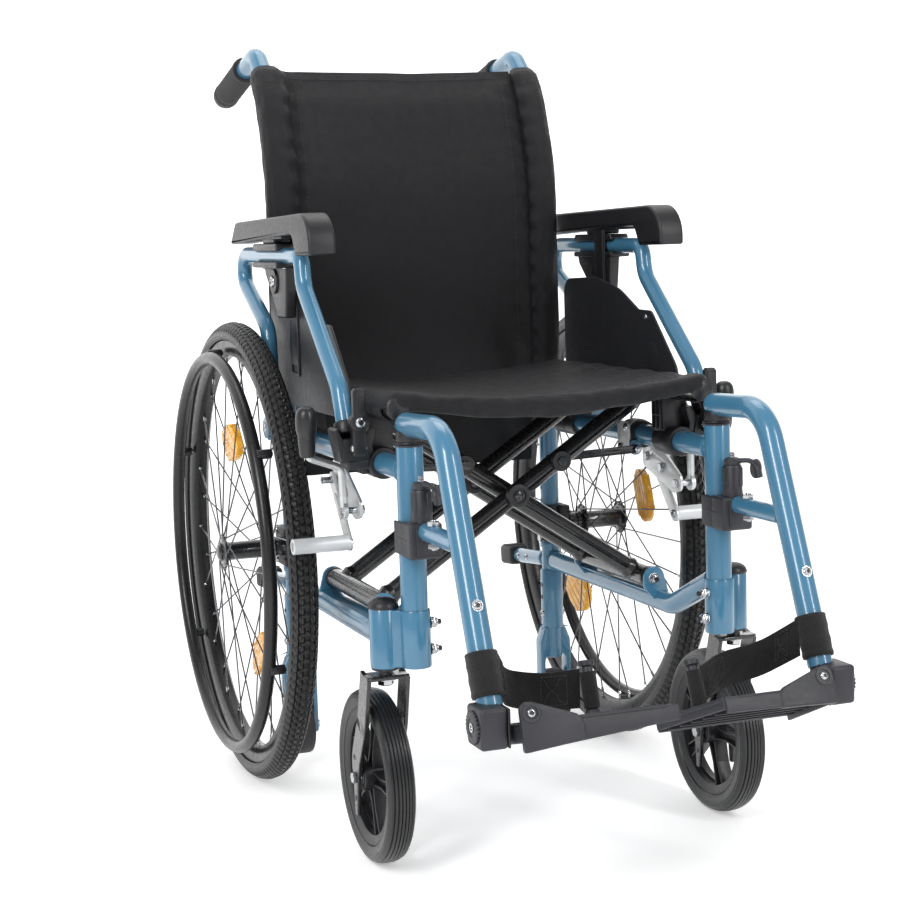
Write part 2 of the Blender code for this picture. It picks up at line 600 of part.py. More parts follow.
def footplate(s):
    """A tray of plate and ribs, tilted about its front upper edge."""
    if s < 0:
        plan = [(-0.1760, -0.1050), (-0.1760, 0.0), (-0.0030, 0.0), (-0.0400, -0.1050)]
        plan = [(x, -v) for x, v in plan]
    else:
        plan = [(0.1760, 0.1050), (0.1760, 0.0), (0.0450, 0.0), (0.0120, 0.1050)]
    sx = s * 0.0006
    top = plate(soft(plan, 0.006), "XY", -0.0050, 0.0)
    deep = 0.0300 if s < 0 else 0.0206
    skirt_front = plate([(plan[1][0] - sx, -0.0010), (plan[1][0] - sx, 0.0012 - deep), (plan[2][0] + 2 * sx, -0.0160), (plan[2][0] + 2 * sx, -0.0010)],
                        "XZ", 0.0006, 0.0044)
    skirt_back = block((plan[0][0] - 2 * sx, 0.1006, -0.0140), (plan[3][0] + 6 * sx, 0.1044, -0.0014))
    skirt_out = block((s * 0.1753, 0.0011, -0.0196), (s * 0.1713, 0.1038, -0.0018))
    a, b = Vector((plan[2][0], plan[2][1])), Vector((plan[3][0], plan[3][1]))
    d = (b - a).normalized()
    inner = block((-0.0018, 0.0025, -0.0100), (0.0018, (b - a).length - 0.0031, -0.0022))
    inner.data.transform(Matrix.Translation((a.x + s * 0.0028, a.y, 0)) @ Matrix.Rotation(math.atan2(-d.x, d.y), 4, "Z"))
    ribs = [block((s * 0.1731, y, -0.0128), (s * 0.0400, y + 0.0025, -0.0026)) for y in (0.036, 0.069)]
    low = -0.0160 - (deep - 0.0160) * 0.55
    ear = plate(soft([(s * 0.1766, -deep), (s * 0.1766, 0.0190), (s * 0.1640, 0.0190), (s * 0.1150, -0.0013), (s * 0.1150, low)],
                     [0.003, 0.008, 0.008, 0.010, 0.003]), "XZ", -0.0008, 0.0061)
    peg = cyl((s * 0.0620, 0.0860, -0.0031), (s * 0.0620, 0.0860, 0.0520), 0.0055, 10)
    cap = cyl((s * 0.0620, 0.0860, 0.0500), (s * 0.0620, 0.0860, 0.0560), 0.0085, 10)
    o = join(top, skirt_front, skirt_back, skirt_out, inner, *ribs, ear, peg, cap)
    o.data.transform(Matrix.Translation((0, -0.5050, 0.2360)) @ Matrix.Rotation(-PEDAL_TILT[s], 4, "X"))
    return o


def heel_strap(s):
    """A webbing band round the hanger tube and back to the footplate's peg."""
    x = s * HALF
    c = Matrix.Translation((0, -0.5050, 0.2360)) @ Matrix.Rotation(-PEDAL_TILT[s], 4, "X") @ Vector((s * 0.0620, 0.0860, 0.0260))
    d = Vector((0, -0.4560 + 0.3450, 0.2420 - 0.5110)).normalized()
    top, low = Vector((x, -0.4560, 0.2420)) - d * 0.0560, Vector((x, -0.4560, 0.2420)) - d * 0.0130
    cuff = cyl(top, low, 0.0168, 14)
    mid = (top + low) / 2
    pts = [mid + Vector((-s * 0.0150, 0.0040, 0)), Vector((s * 0.1500, -0.4020, 0.2480)), Vector((s * 0.1050, -0.3900, 0.2360)),
           Vector((c.x + s * 0.0110, c.y + 0.0100, c.z))]
    line = rounded(pts, [0.04, 0.04])
    out = []
    w, t = 0.0210, 0.0013
    prof = [(-t, -w), (t, -w), (t, w), (-t, w)]
    bm = bmesh.new()
    rows = []
    for k, p in enumerate(line):
        a, b = Vector(line[max(k - 1, 0)]), Vector(line[min(k + 1, len(line) - 1)])
        along = (b - a).normalized()
        side = along.cross(Vector((0, 0, 1))).normalized()
        rows.append([bm.verts.new(Vector(p) + side * u + Vector((0, 0, 1)) * v) for u, v in prof])
    for r0, r1 in zip(rows, rows[1:]):
        for i in range(4):
            bm.faces.new((r0[i], r0[(i + 1) % 4], r1[(i + 1) % 4], r1[i]))
    bm.faces.new(rows[0][::-1])
    bm.faces.new(rows[-1])
    bmesh.ops.recalc_face_normals(bm, faces=bm.faces)
    me = bpy.data.meshes.new("band")
    bm.to_mesh(me)
    bm.free()
    o = join(cuff, as_object(me))
    return cut(o, rod(hanger_path(s), 0.0139, 12))


# ---------------------------------------------------------------- cross brace, seat, back
def brace(s):
    """Arms from the lower pivot of side s up to the seat rail of the other side."""
    low, high = Vector((s * PIV_X, 0, PIV_Z)), Vector((-s * HALF, 0, SEAT_Z))
    pieces = [cyl((high.x, -0.1980, high.z), (high.x, 0.2300, high.z), SEAT_R, 14),
              cyl((low.x, -0.0840, low.z), (low.x, 0.1165, low.z), 0.0125, 14)]
    for y in ARM_Y[s]:
        pieces.append(cyl(low + Vector((0, y, 0)), high + Vector((0, y, 0)), ARM_R, 12))
    if s < 0:
        for y in ARM_Y[s]:
            pieces.append(cyl((0, y - 0.0150, CEN_Z), (0, y - 0.0080, CEN_Z), 0.0110, 12))
            pieces.append(cyl((0, y - 0.0100, CEN_Z), (0, y + 0.0400, CEN_Z), 0.0040, 10))
            pieces.append(cyl((0, y + 0.0385, CEN_Z), (0, y + 0.0430, CEN_Z), 0.0080, 6))
    p = link_end(s)
    y = ARM_Y[s][0]
    pieces.append(cyl((p.x, y - 0.0150, p.z), (p.x, y - 0.0080, p.z), 0.0095, 10))
    o = join(*pieces)
    bores = [cyl((low.x, -0.0860, low.z), (low.x, -0.0700, low.z), 0.0056, 12),
             cyl((low.x, 0.1020, low.z), (low.x, 0.1190, low.z), 0.0056, 12)]
    if s > 0:
        bores += [cyl((0, y - 0.02, CEN_Z), (0, y + 0.02, CEN_Z), 0.0046, 12) for y in ARM_Y[s]]
    return cut(o, *bores)


def link_end(s):
    """Link bolt on the upper half of brace s, at the other side."""
    return Vector((-s * LINK_D * math.cos(FOLD_T0), 0, CEN_Z + LINK_D * math.sin(FOLD_T0)))


def link(s):
    """Strut from the side frame s to the brace that carries its seat rail."""
    q = Vector((s * PIV_X, 0, PIV_Z + LINK_H))
    p = link_end(-s)
    yc = -0.0515 if s > 0 else -0.0630
    d = (p - q).normalized()
    n = Vector((-d.z, 0, d.x))
    corners = [q - d * 0.0060 + n * 0.0050, q - d * 0.0060 - n * 0.0050, p + d * 0.0076 - n * 0.0050, p + d * 0.0076 + n * 0.0050]
    bar = plate(soft([(c.x, c.z) for c in corners], 0.0048), "XZ", yc - 0.0022, yc + 0.0022)
    return cut(bar, cyl((q.x, yc - 0.02, q.z), (q.x, yc + 0.02, q.z), 0.0040, 10))


def seat_sling():
    def top(x):
        return 0.5425 - 0.0150 * (1 - (x / 0.19) ** 2)

    def low(x):
        u = abs(x) / 0.19
        return 0.5060 + 0.0304 * u ** 2.5
    xs = [-0.19 + 0.38 * k / 12 for k in range(13)]
    line = [(-0.2050, 0.5380), (-0.2010, 0.5425)] + [(x, top(x)) for x in xs] + [(0.2010, 0.5425), (0.2050, 0.5380)]
    under = [(0.2050, 0.5355)] + [(x, max(low(x), 0.0)) for x in reversed(xs)] + [(-0.2050, 0.5355)]
    return plate(line + under, "XZ", -0.2050, 0.2350)


def back_sling():
    lo, hi = 0.4950, 0.9520
    path = [Vector((HALF, BACK_Y, lo)), Vector((HALF, BACK_Y, 0.62))] + [Vector(p) for p in back_path(1)[1:]]
    run = [p for p in path if lo - 1e-6 <= p.z <= hi and p.y < 0.335]
    sleeves = []
    for s in (-1, 1):
        sleeves.append(rod([(s * HALF, p.y, p.z) for p in run], 0.0193, 12))
    bm = bmesh.new()
    rows = []
    flap = [Vector((HALF, BACK_Y + 0.010, 0.3950)), Vector((HALF, BACK_Y + 0.004, 0.4700))]
    line = flap + run[1:-1] + [run[-1].lerp(run[-2], 0.3)]
    for k, p in enumerate(line):
        a, b = line[max(k - 1, 0)], line[min(k + 1, len(line) - 1)]
        along = (b - a).normalized()
        nrm = Vector((0, along.z, -along.y))
        rows.append([bm.verts.new((x, p.y + nrm.y * t, p.z + nrm.z * t)) for x, t in
                     ((-0.1745, -0.003), (0.1745, -0.003), (0.1745, 0.003), (-0.1745, 0.003))])
    for r0, r1 in zip(rows, rows[1:]):
        for i in range(4):
            bm.faces.new((r0[i], r0[(i + 1) % 4], r1[(i + 1) % 4], r1[i]))
    bm.faces.new(rows[0][::-1])
    bm.faces.new(rows[-1])
    bmesh.ops.recalc_face_normals(bm, faces=bm.faces)
    me = bpy.data.meshes.new("panel")
    bm.to_mesh(me)
    bm.free()
    o = join(as_object(me), *sleeves)
    return cut(o, *[rod(back_path(s), BACK_R + 0.0004, 12) for s in (-1, 1)])


# ---------------------------------------------------------------- assembly
empty("brace_r_axis", (-PIV_X, 0, PIV_Z), "chair")
empty("brace_l_axis", (0, 0, CEN_Z), "brace_r_axis")
empty("frame_l_axis", (PIV_X, 0, PIV_Z), "brace_l_axis")
empty("seat_axis", (HALF, 0, SEAT_Z), "brace_r_axis")
node("brace_r", brace(-1), BLACK, "brace_r_axis")
node("brace_l", brace(1), BLACK, "brace_l_axis")
node("seat_sling", seat_sling(), NYLON, "seat_axis")
node("back_sling", back_sling(), NYLON)

for s in (-1, 1):
    t = side_of(s)
    base = "chair" if s < 0 else "frame_l_axis"
    empty("link_axis" + t, (s * PIV_X, 0, PIV_Z + LINK_H), base)
    empty("wheel_axis" + t, (s * WHEEL_X, WHEEL_Y, WHEEL_Z), base)
    empty("caster_swivel" + t, (s * STEM_X, STEM_Y, 0.23), base)
    empty("caster_axis" + t, (s * CAST_X, CAST_Y, CAST_R), "caster_swivel" + t)
    empty("roller_axis" + t, (s * HALF, ROLL_Y, ROLL_Z), base)
    empty("armrest_axis" + t, (s * ARMREST_X, *ARMREST_PIVOT), base)
    empty("pad_slide" + t, (s * ARMREST_X, 0.127, 0.70), "armrest_axis" + t)
    empty("latch_axis" + t, (s * 0.222, *LATCH_PIVOT), base)
    empty("brake_axis" + t, (s * 0.226, *BRAKE_LEVER), base)
    empty("shoe_axis" + t, (s * 0.215, *BRAKE_SHOE), base)
    empty("hanger_axis" + t, (s * HALF, POST_Y, 0.49), base)
    empty("wing_axis" + t, (s * WING[0], WING[1], 0.44), "hanger_axis" + t)
    empty("foot_axis" + t, (s * FOOT_X, FOOT_Y, FOOT_Z), "hanger_axis" + t)

    for name, make, mat, parent in (
            ("side_frame", side_frame, BLUE, base), ("lower_rail", lower_rail, BLUE, base), ("back_post", back_post, BLUE, base),
            ("push_grip", push_grip, RUBBER, base), ("step_cap", step_cap, RUBBER, base),
            ("caster_housing", caster_housing, BLUE, base), ("axle_bracket", axle_bracket, BLACK, base),
            ("brake_bracket", brake_bracket, STEEL, base),
            ("link", link, BLACK, "link_axis" + t),
            ("rear_tyre", rear_tyre, TYRE, "wheel_axis" + t), ("rear_rim", rear_rim, BLACK, "wheel_axis" + t),
            ("rear_hub", rear_hub, BLACK, "wheel_axis" + t), ("handrim", handrim, BLACK, "wheel_axis" + t),
            ("caster_fork", caster_fork, BLACK, "caster_swivel" + t),
            ("caster_tyre", caster_tyre, TYRE, "caster_axis" + t), ("caster_rim", caster_rim, PLASTIC, "caster_axis" + t),
            ("transit_wheel", transit_wheel, RUBBER, "roller_axis" + t),
            ("armrest_frame", armrest_frame, BLUE, "armrest_axis" + t), ("side_guard", side_guard, PLASTIC, "armrest_axis" + t),
            ("arm_pad", arm_pad, PAD, "pad_slide" + t), ("arm_latch", arm_latch, PLASTIC, "latch_axis" + t),
            ("brake_lever", brake_lever, STEEL, "brake_axis" + t), ("brake_shoe", brake_shoe, STEEL, "shoe_axis" + t),
            ("hanger", hanger, BLUE, "hanger_axis" + t), ("hanger_clamp", hanger_clamp, PLASTIC, "hanger_axis" + t),
            ("hanger_lever", hanger_lever, PLASTIC, "wing_axis" + t),
            ("footplate", footplate, PLASTIC, "foot_axis" + t), ("heel_strap", heel_strap, NYLON, "hanger_axis" + t)):
        node(name + t, make(s), mat, parent)
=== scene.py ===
"""Looks of a folding wheelchair with swing-away footrests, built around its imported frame."""
import math

import bmesh
import bpy
import numpy as np
from mathutils import Matrix, Vector, noise


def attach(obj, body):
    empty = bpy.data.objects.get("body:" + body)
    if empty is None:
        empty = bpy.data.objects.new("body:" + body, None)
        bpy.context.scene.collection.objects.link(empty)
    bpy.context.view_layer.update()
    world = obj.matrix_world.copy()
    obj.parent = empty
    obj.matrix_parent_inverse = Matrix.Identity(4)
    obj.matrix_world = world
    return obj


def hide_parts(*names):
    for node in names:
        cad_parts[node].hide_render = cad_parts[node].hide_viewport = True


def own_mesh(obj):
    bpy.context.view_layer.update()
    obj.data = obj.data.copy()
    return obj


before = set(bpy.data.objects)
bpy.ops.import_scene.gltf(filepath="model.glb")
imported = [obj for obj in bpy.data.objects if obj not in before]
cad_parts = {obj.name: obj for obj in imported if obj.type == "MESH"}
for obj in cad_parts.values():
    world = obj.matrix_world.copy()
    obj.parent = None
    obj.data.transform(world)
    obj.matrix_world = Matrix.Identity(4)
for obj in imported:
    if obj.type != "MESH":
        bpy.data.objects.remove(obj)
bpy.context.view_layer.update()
scene = bpy.context.scene

# ---------------------------------------------------------------- dimensions, as in the frame
YS = -0.0198
HALF, POST_R, BACK_R, RAIL_R = 0.190, 0.015, 0.013, 0.013
POST_Y, BACK_Y, RAIL_Z, LOW_Z = -0.235, 0.262, 0.456, 0.250
FOLD_T0 = math.radians(33.5)
PIV_X, PIV_Z = 0.176, 0.280
CEN_Z = PIV_Z + PIV_X * math.tan(FOLD_T0)
SEAT_Z = CEN_Z + HALF * math.tan(FOLD_T0)
SEAT_R, ARM_R = 0.0125, 0.0115
ARM_Y = {-1: (-0.070, 0.078), 1: (-0.044, 0.104)}
LINK_D, LINK_H = 0.070, 0.159
WHEEL_R = 0.305
WX, WY, WZ = 0.2623, 0.245, 0.305
CAST_R, CAST_X, CAST_Y = 0.100, 0.2195, -0.166
STEM_X, STEM_Y = 0.2195, -0.214
ROLL_R, ROLL_Y, ROLL_Z = 0.038, 0.262, 0.052
ARMREST_X = 0.229
ARMREST_PIVOT = (0.188, 0.4720)
LATCH_PIVOT = (-0.1545, 0.4740)
BRAKE_LEVER = (-0.100, 0.3980)
BRAKE_SHOE = (-0.020, 0.4250)
PEDAL_TILT = {-1: math.radians(16.0), 1: math.radians(24.0)}
WING = (0.190, -0.2700)


# ---------------------------------------------------------------- materials
def material(name, color, rough, metal=0.0, coat=0.0, coat_rough=0.1, vary=0.15, vary_scale=9.0, rough_vary=0.08,
             grain=0.0, grain_scale=900.0, ripple=0.0, ripple_scale=60.0, sheen=0.0, stretch=(1, 1, 1), spec=0.5,
             weave=0.0, weave_size=0.0011, dust=0.0, transmission=0.0):
    m = bpy.data.materials.new(name)
    m.use_nodes = True
    m.diffuse_color = (*color, 1)
    nt = m.node_tree
    nodes, links = nt.nodes, nt.links
    b = nodes["Principled BSDF"]
    b.inputs["Metallic"].default_value = metal
    b.inputs["Coat Weight"].default_value = coat
    b.inputs["Coat Roughness"].default_value = coat_rough
    b.inputs["Sheen Weight"].default_value = sheen
    b.inputs["Sheen Roughness"].default_value = 0.4
    b.inputs["Specular IOR Level"].default_value = spec
    b.inputs["Transmission Weight"].default_value = transmission
    tc = nodes.new("ShaderNodeTexCoord")
    mp = nodes.new("ShaderNodeMapping")
    mp.inputs["Scale"].default_value = stretch
    links.new(tc.outputs["Object"], mp.inputs["Vector"])
    co = mp.outputs["Vector"]

    def noise_tex(scale, detail=4.0, rough_=0.55):
        n = nodes.new("ShaderNodeTexNoise")
        n.inputs["Scale"].default_value = scale
        n.inputs["Detail"].default_value = detail
        n.inputs["Roughness"].default_value = rough_
        links.new(co, n.inputs["Vector"])
        return n.outputs["Fac"]

    def ranged(value, lo, hi, a=0.3, z=0.7):
        r = nodes.new("ShaderNodeMapRange")
        r.inputs["From Min"].default_value = a
        r.inputs["From Max"].default_value = z
        r.inputs["To Min"].default_value = lo
        r.inputs["To Max"].default_value = hi
        links.new(value, r.inputs["Value"])
        return r.outputs["Result"]

    big = noise_tex(vary_scale)
    fine = noise_tex(vary_scale * 14, 3.0)
    mix = nodes.new("ShaderNodeMix")
    mix.data_type = "RGBA"
    links.new(ranged(big, 0.0, 1.0), mix.inputs["Factor"])
    mix.inputs["A"].default_value = (*[c * (1 - vary) for c in color], 1)
    mix.inputs["B"].default_value = (*[min(1, c * (1 + vary)) for c in color], 1)
    out = mix.outputs["Result"]
    if dust:
        grey = nodes.new("ShaderNodeMix")
        grey.data_type = "RGBA"
        links.new(ranged(fine, 0.0, dust, 0.45, 0.75), grey.inputs["Factor"])
        links.new(out, grey.inputs["A"])
        grey.inputs["B"].default_value = (0.16, 0.155, 0.15, 1)
        out = grey.outputs["Result"]
    links.new(out, b.inputs["Base Color"])
    links.new(ranged(fine, max(0.02, rough - rough_vary), min(1, rough + rough_vary)), b.inputs["Roughness"])
    height = None

    def add(value, amount):
        nonlocal height
        k = nodes.new("ShaderNodeMath")
        k.operation = "MULTIPLY"
        links.new(value, k.inputs[0])
        k.inputs[1].default_value = amount
        if height is None:
            height = k.outputs[0]
            return
        s = nodes.new("ShaderNodeMath")
        s.operation = "ADD"
        links.new(height, s.inputs[0])
        links.new(k.outputs[0], s.inputs[1])
        height = s.outputs[0]

    if grain:
        add(noise_tex(grain_scale, 2.0), grain)
    if ripple:
        add(noise_tex(ripple_scale, 2.0, 0.4), ripple)
    if weave:
        sep = nodes.new("ShaderNodeSeparateXYZ")
        links.new(co, sep.inputs[0])
        s2 = nodes.new("ShaderNodeMath")
        s2.operation = "ADD"
        links.new(sep.outputs["Y"], s2.inputs[0])
        links.new(sep.outputs["Z"], s2.inputs[1])
        waves = []
        for source in (sep.outputs["X"], s2.outputs[0]):
            f = nodes.new("ShaderNodeMath")
            f.operation = "MULTIPLY"
            links.new(source, f.inputs[0])
            f.inputs[1].default_value = 2 * math.pi / weave_size
            g = nodes.new("ShaderNodeMath")
            g.operation = "SINE"
            links.new(f.outputs[0], g.inputs[0])
            waves.append(g.outputs[0])
        prod = nodes.new("ShaderNodeMath")
        prod.operation = "MULTIPLY"
        links.new(waves[0], prod.inputs[0])
        links.new(waves[1], prod.inputs[1])
        add(prod.outputs[0], weave)
    if height is not None:
        bump = nodes.new("ShaderNodeBump")
        bump.inputs["Strength"].default_value = 1.0
        bump.inputs["Distance"].default_value = 0.001
        links.new(height, bump.inputs["Height"])
        links.new(bump.outputs["Normal"], b.inputs["Normal"])
    return m


BLUE = material("blue_powder_coat", (0.043, 0.165, 0.275), 0.30, coat=0.7, coat_rough=0.07, vary=0.06, vary_scale=5,
                rough_vary=0.02, ripple=0.010, ripple_scale=40)
GLOSS = material("black_gloss_paint", (0.010, 0.010, 0.011), 0.27, coat=0.5, coat_rough=0.10, vary=0.2, rough_vary=0.06,
                 grain=0.02, grain_scale=500, ripple=0.04, ripple_scale=140)
SATIN = material("black_satin_anodised", (0.020, 0.020, 0.021), 0.30, metal=0.35, vary=0.15, rough_vary=0.05,
                 grain=0.03, grain_scale=900)
PLASTIC = material("charcoal_moulding", (0.019, 0.0195, 0.025), 0.44, vary=0.12, vary_scale=14, rough_vary=0.06,
                   grain=0.14, grain_scale=1500, ripple=0.03, ripple_scale=120)
BLACKPLASTIC = material("black_moulding", (0.009, 0.009, 0.011), 0.40, vary=0.15, vary_scale=14, rough_vary=0.07,
                        grain=0.10, grain_scale=1300)
GUARD = material("guard_sheet", (0.015, 0.0155, 0.019), 0.44, vary=0.10, vary_scale=7, rough_vary=0.05, grain=0.10,
                 grain_scale=1100, ripple=0.05, ripple_scale=40)
PAD = material("arm_pad_skin", (0.011, 0.0112, 0.013), 0.42, vary=0.12, vary_scale=20, rough_vary=0.06, grain=0.22,
               grain_scale=800, ripple=0.10, ripple_scale=210, spec=0.45)
RUBBER = material("soft_rubber", (0.013, 0.013, 0.015), 0.56, vary=0.18, vary_scale=25, rough_vary=0.08, grain=0.22,
                  grain_scale=900)
TYRE = material("tyre_tread_rubber", (0.0080, 0.0080, 0.0088), 0.40, vary=0.25, vary_scale=30, rough_vary=0.10,
                grain=0.25, grain_scale=700, dust=0.04, spec=0.4)
WALL = material("tyre_wall_rubber", (0.026, 0.0265, 0.028), 0.42, vary=0.12, vary_scale=12, rough_vary=0.07, grain=0.12,
                grain_scale=900, dust=0.06)
CAST_TYRE = material("caster_tyre_rubber", (0.013, 0.0135, 0.015), 0.34, vary=0.15, vary_scale=18, rough_vary=0.07,
                     grain=0.08, grain_scale=700)
NYLON = material("coated_nylon", (0.0072, 0.0072, 0.0090), 0.50, vary=0.12, vary_scale=6, rough_vary=0.08, sheen=0.03,
                 weave=0.16, weave_size=0.0011, grain=0.10, grain_scale=700, ripple=0.60, ripple_scale=24, spec=0.32)
WEBBING = material("webbing", (0.013, 0.013, 0.014), 0.80, vary=0.2, vary_scale=30, sheen=0.2, weave=0.35,
                   weave_size=0.0022, grain=0.25, grain_scale=800, spec=0.3)
THREAD = material("thread", (0.030, 0.030, 0.033), 0.75, vary=0.2, vary_scale=60, grain=0.3, grain_scale=1800, sheen=0.2)
ZINC = material("zinc_plate", (0.62, 0.63, 0.63), 0.36, metal=0.85, vary=0.10, vary_scale=40, rough_vary=0.10,
                grain=0.10, grain_scale=700, stretch=(1, 1, 3))
ALU = material("silver_tube", (0.62, 0.63, 0.64), 0.42, metal=0.45, vary=0.06, vary_scale=30, grain=0.06, grain_scale=800)
STEEL = material("bright_bolt", (0.46, 0.47, 0.49), 0.20, metal=1.0, vary=0.10, vary_scale=80, rough_vary=0.08,
                 grain=0.05, grain_scale=900)
SPOKE = material("dark_spoke_wire", (0.10, 0.10, 0.11), 0.28, metal=0.9, vary=0.2, vary_scale=50, grain=0.03)
AMBER = material("amber_reflector", (1.0, 0.40, 0.015), 0.16, coat=0.6, coat_rough=0.05, vary=0.25, vary_scale=90,
                 ripple=1.2, ripple_scale=260)


# ---------------------------------------------------------------- shape tools
def rounded(points, radii, step=math.radians(6)):
    """A polyline whose inner corners are arcs."""
    pts = [Vector(p) for p in points]
    out = [pts[0]]
    for i in range(1, len(pts) - 1):
        r = radii[i - 1]
        a, b = (pts[i - 1] - pts[i]).normalized(), (pts[i + 1] - pts[i]).normalized()
        inner = a.angle(b)
        turn = math.pi - inner
        if r <= 0 or turn < 1e-3:
            out.append(pts[i])
            continue
        back = r / math.tan(inner / 2)
        centre = pts[i] + (a + b).normalized() * r / math.sin(inner / 2)
        start = pts[i] + a * back - centre
        axis = start.cross(pts[i] + b * back - centre).normalized()
        n = max(2, math.ceil(turn / step))
        for k in range(n + 1):
            out.append(centre + Matrix.Rotation(turn * k / n, 3, axis) @ start)
    out.append(pts[-1])
    return out


def soft(points, radii, step=math.radians(15)):
    """A closed 2D outline with rounded corners."""
    pts = [Vector((*p, 0)) for p in points]
    n = len(pts)
    out = []
    for i in range(n):
        r = radii[i] if hasattr(radii, "__len__") else radii
        arc = rounded([pts[i - 1], pts[i], pts[(i + 1) % n]], [r], step)[1:-1]
        out += [(p.x, p.y) for p in arc]
    return out


def ring2(cx, cy, r, n=24, a0=0.0):
    return [(cx + r * math.cos(a0 + 2 * math.pi * k / n), cy + r * math.sin(a0 + 2 * math.pi * k / n)) for k in range(n)]


PLANES = {"YZ": Matrix(((0, 0, 1), (1, 0, 0), (0, 1, 0))), "XZ": Matrix(((1, 0, 0), (0, 0, -1), (0, 1, 0))),
          "XY": Matrix.Identity(3)}


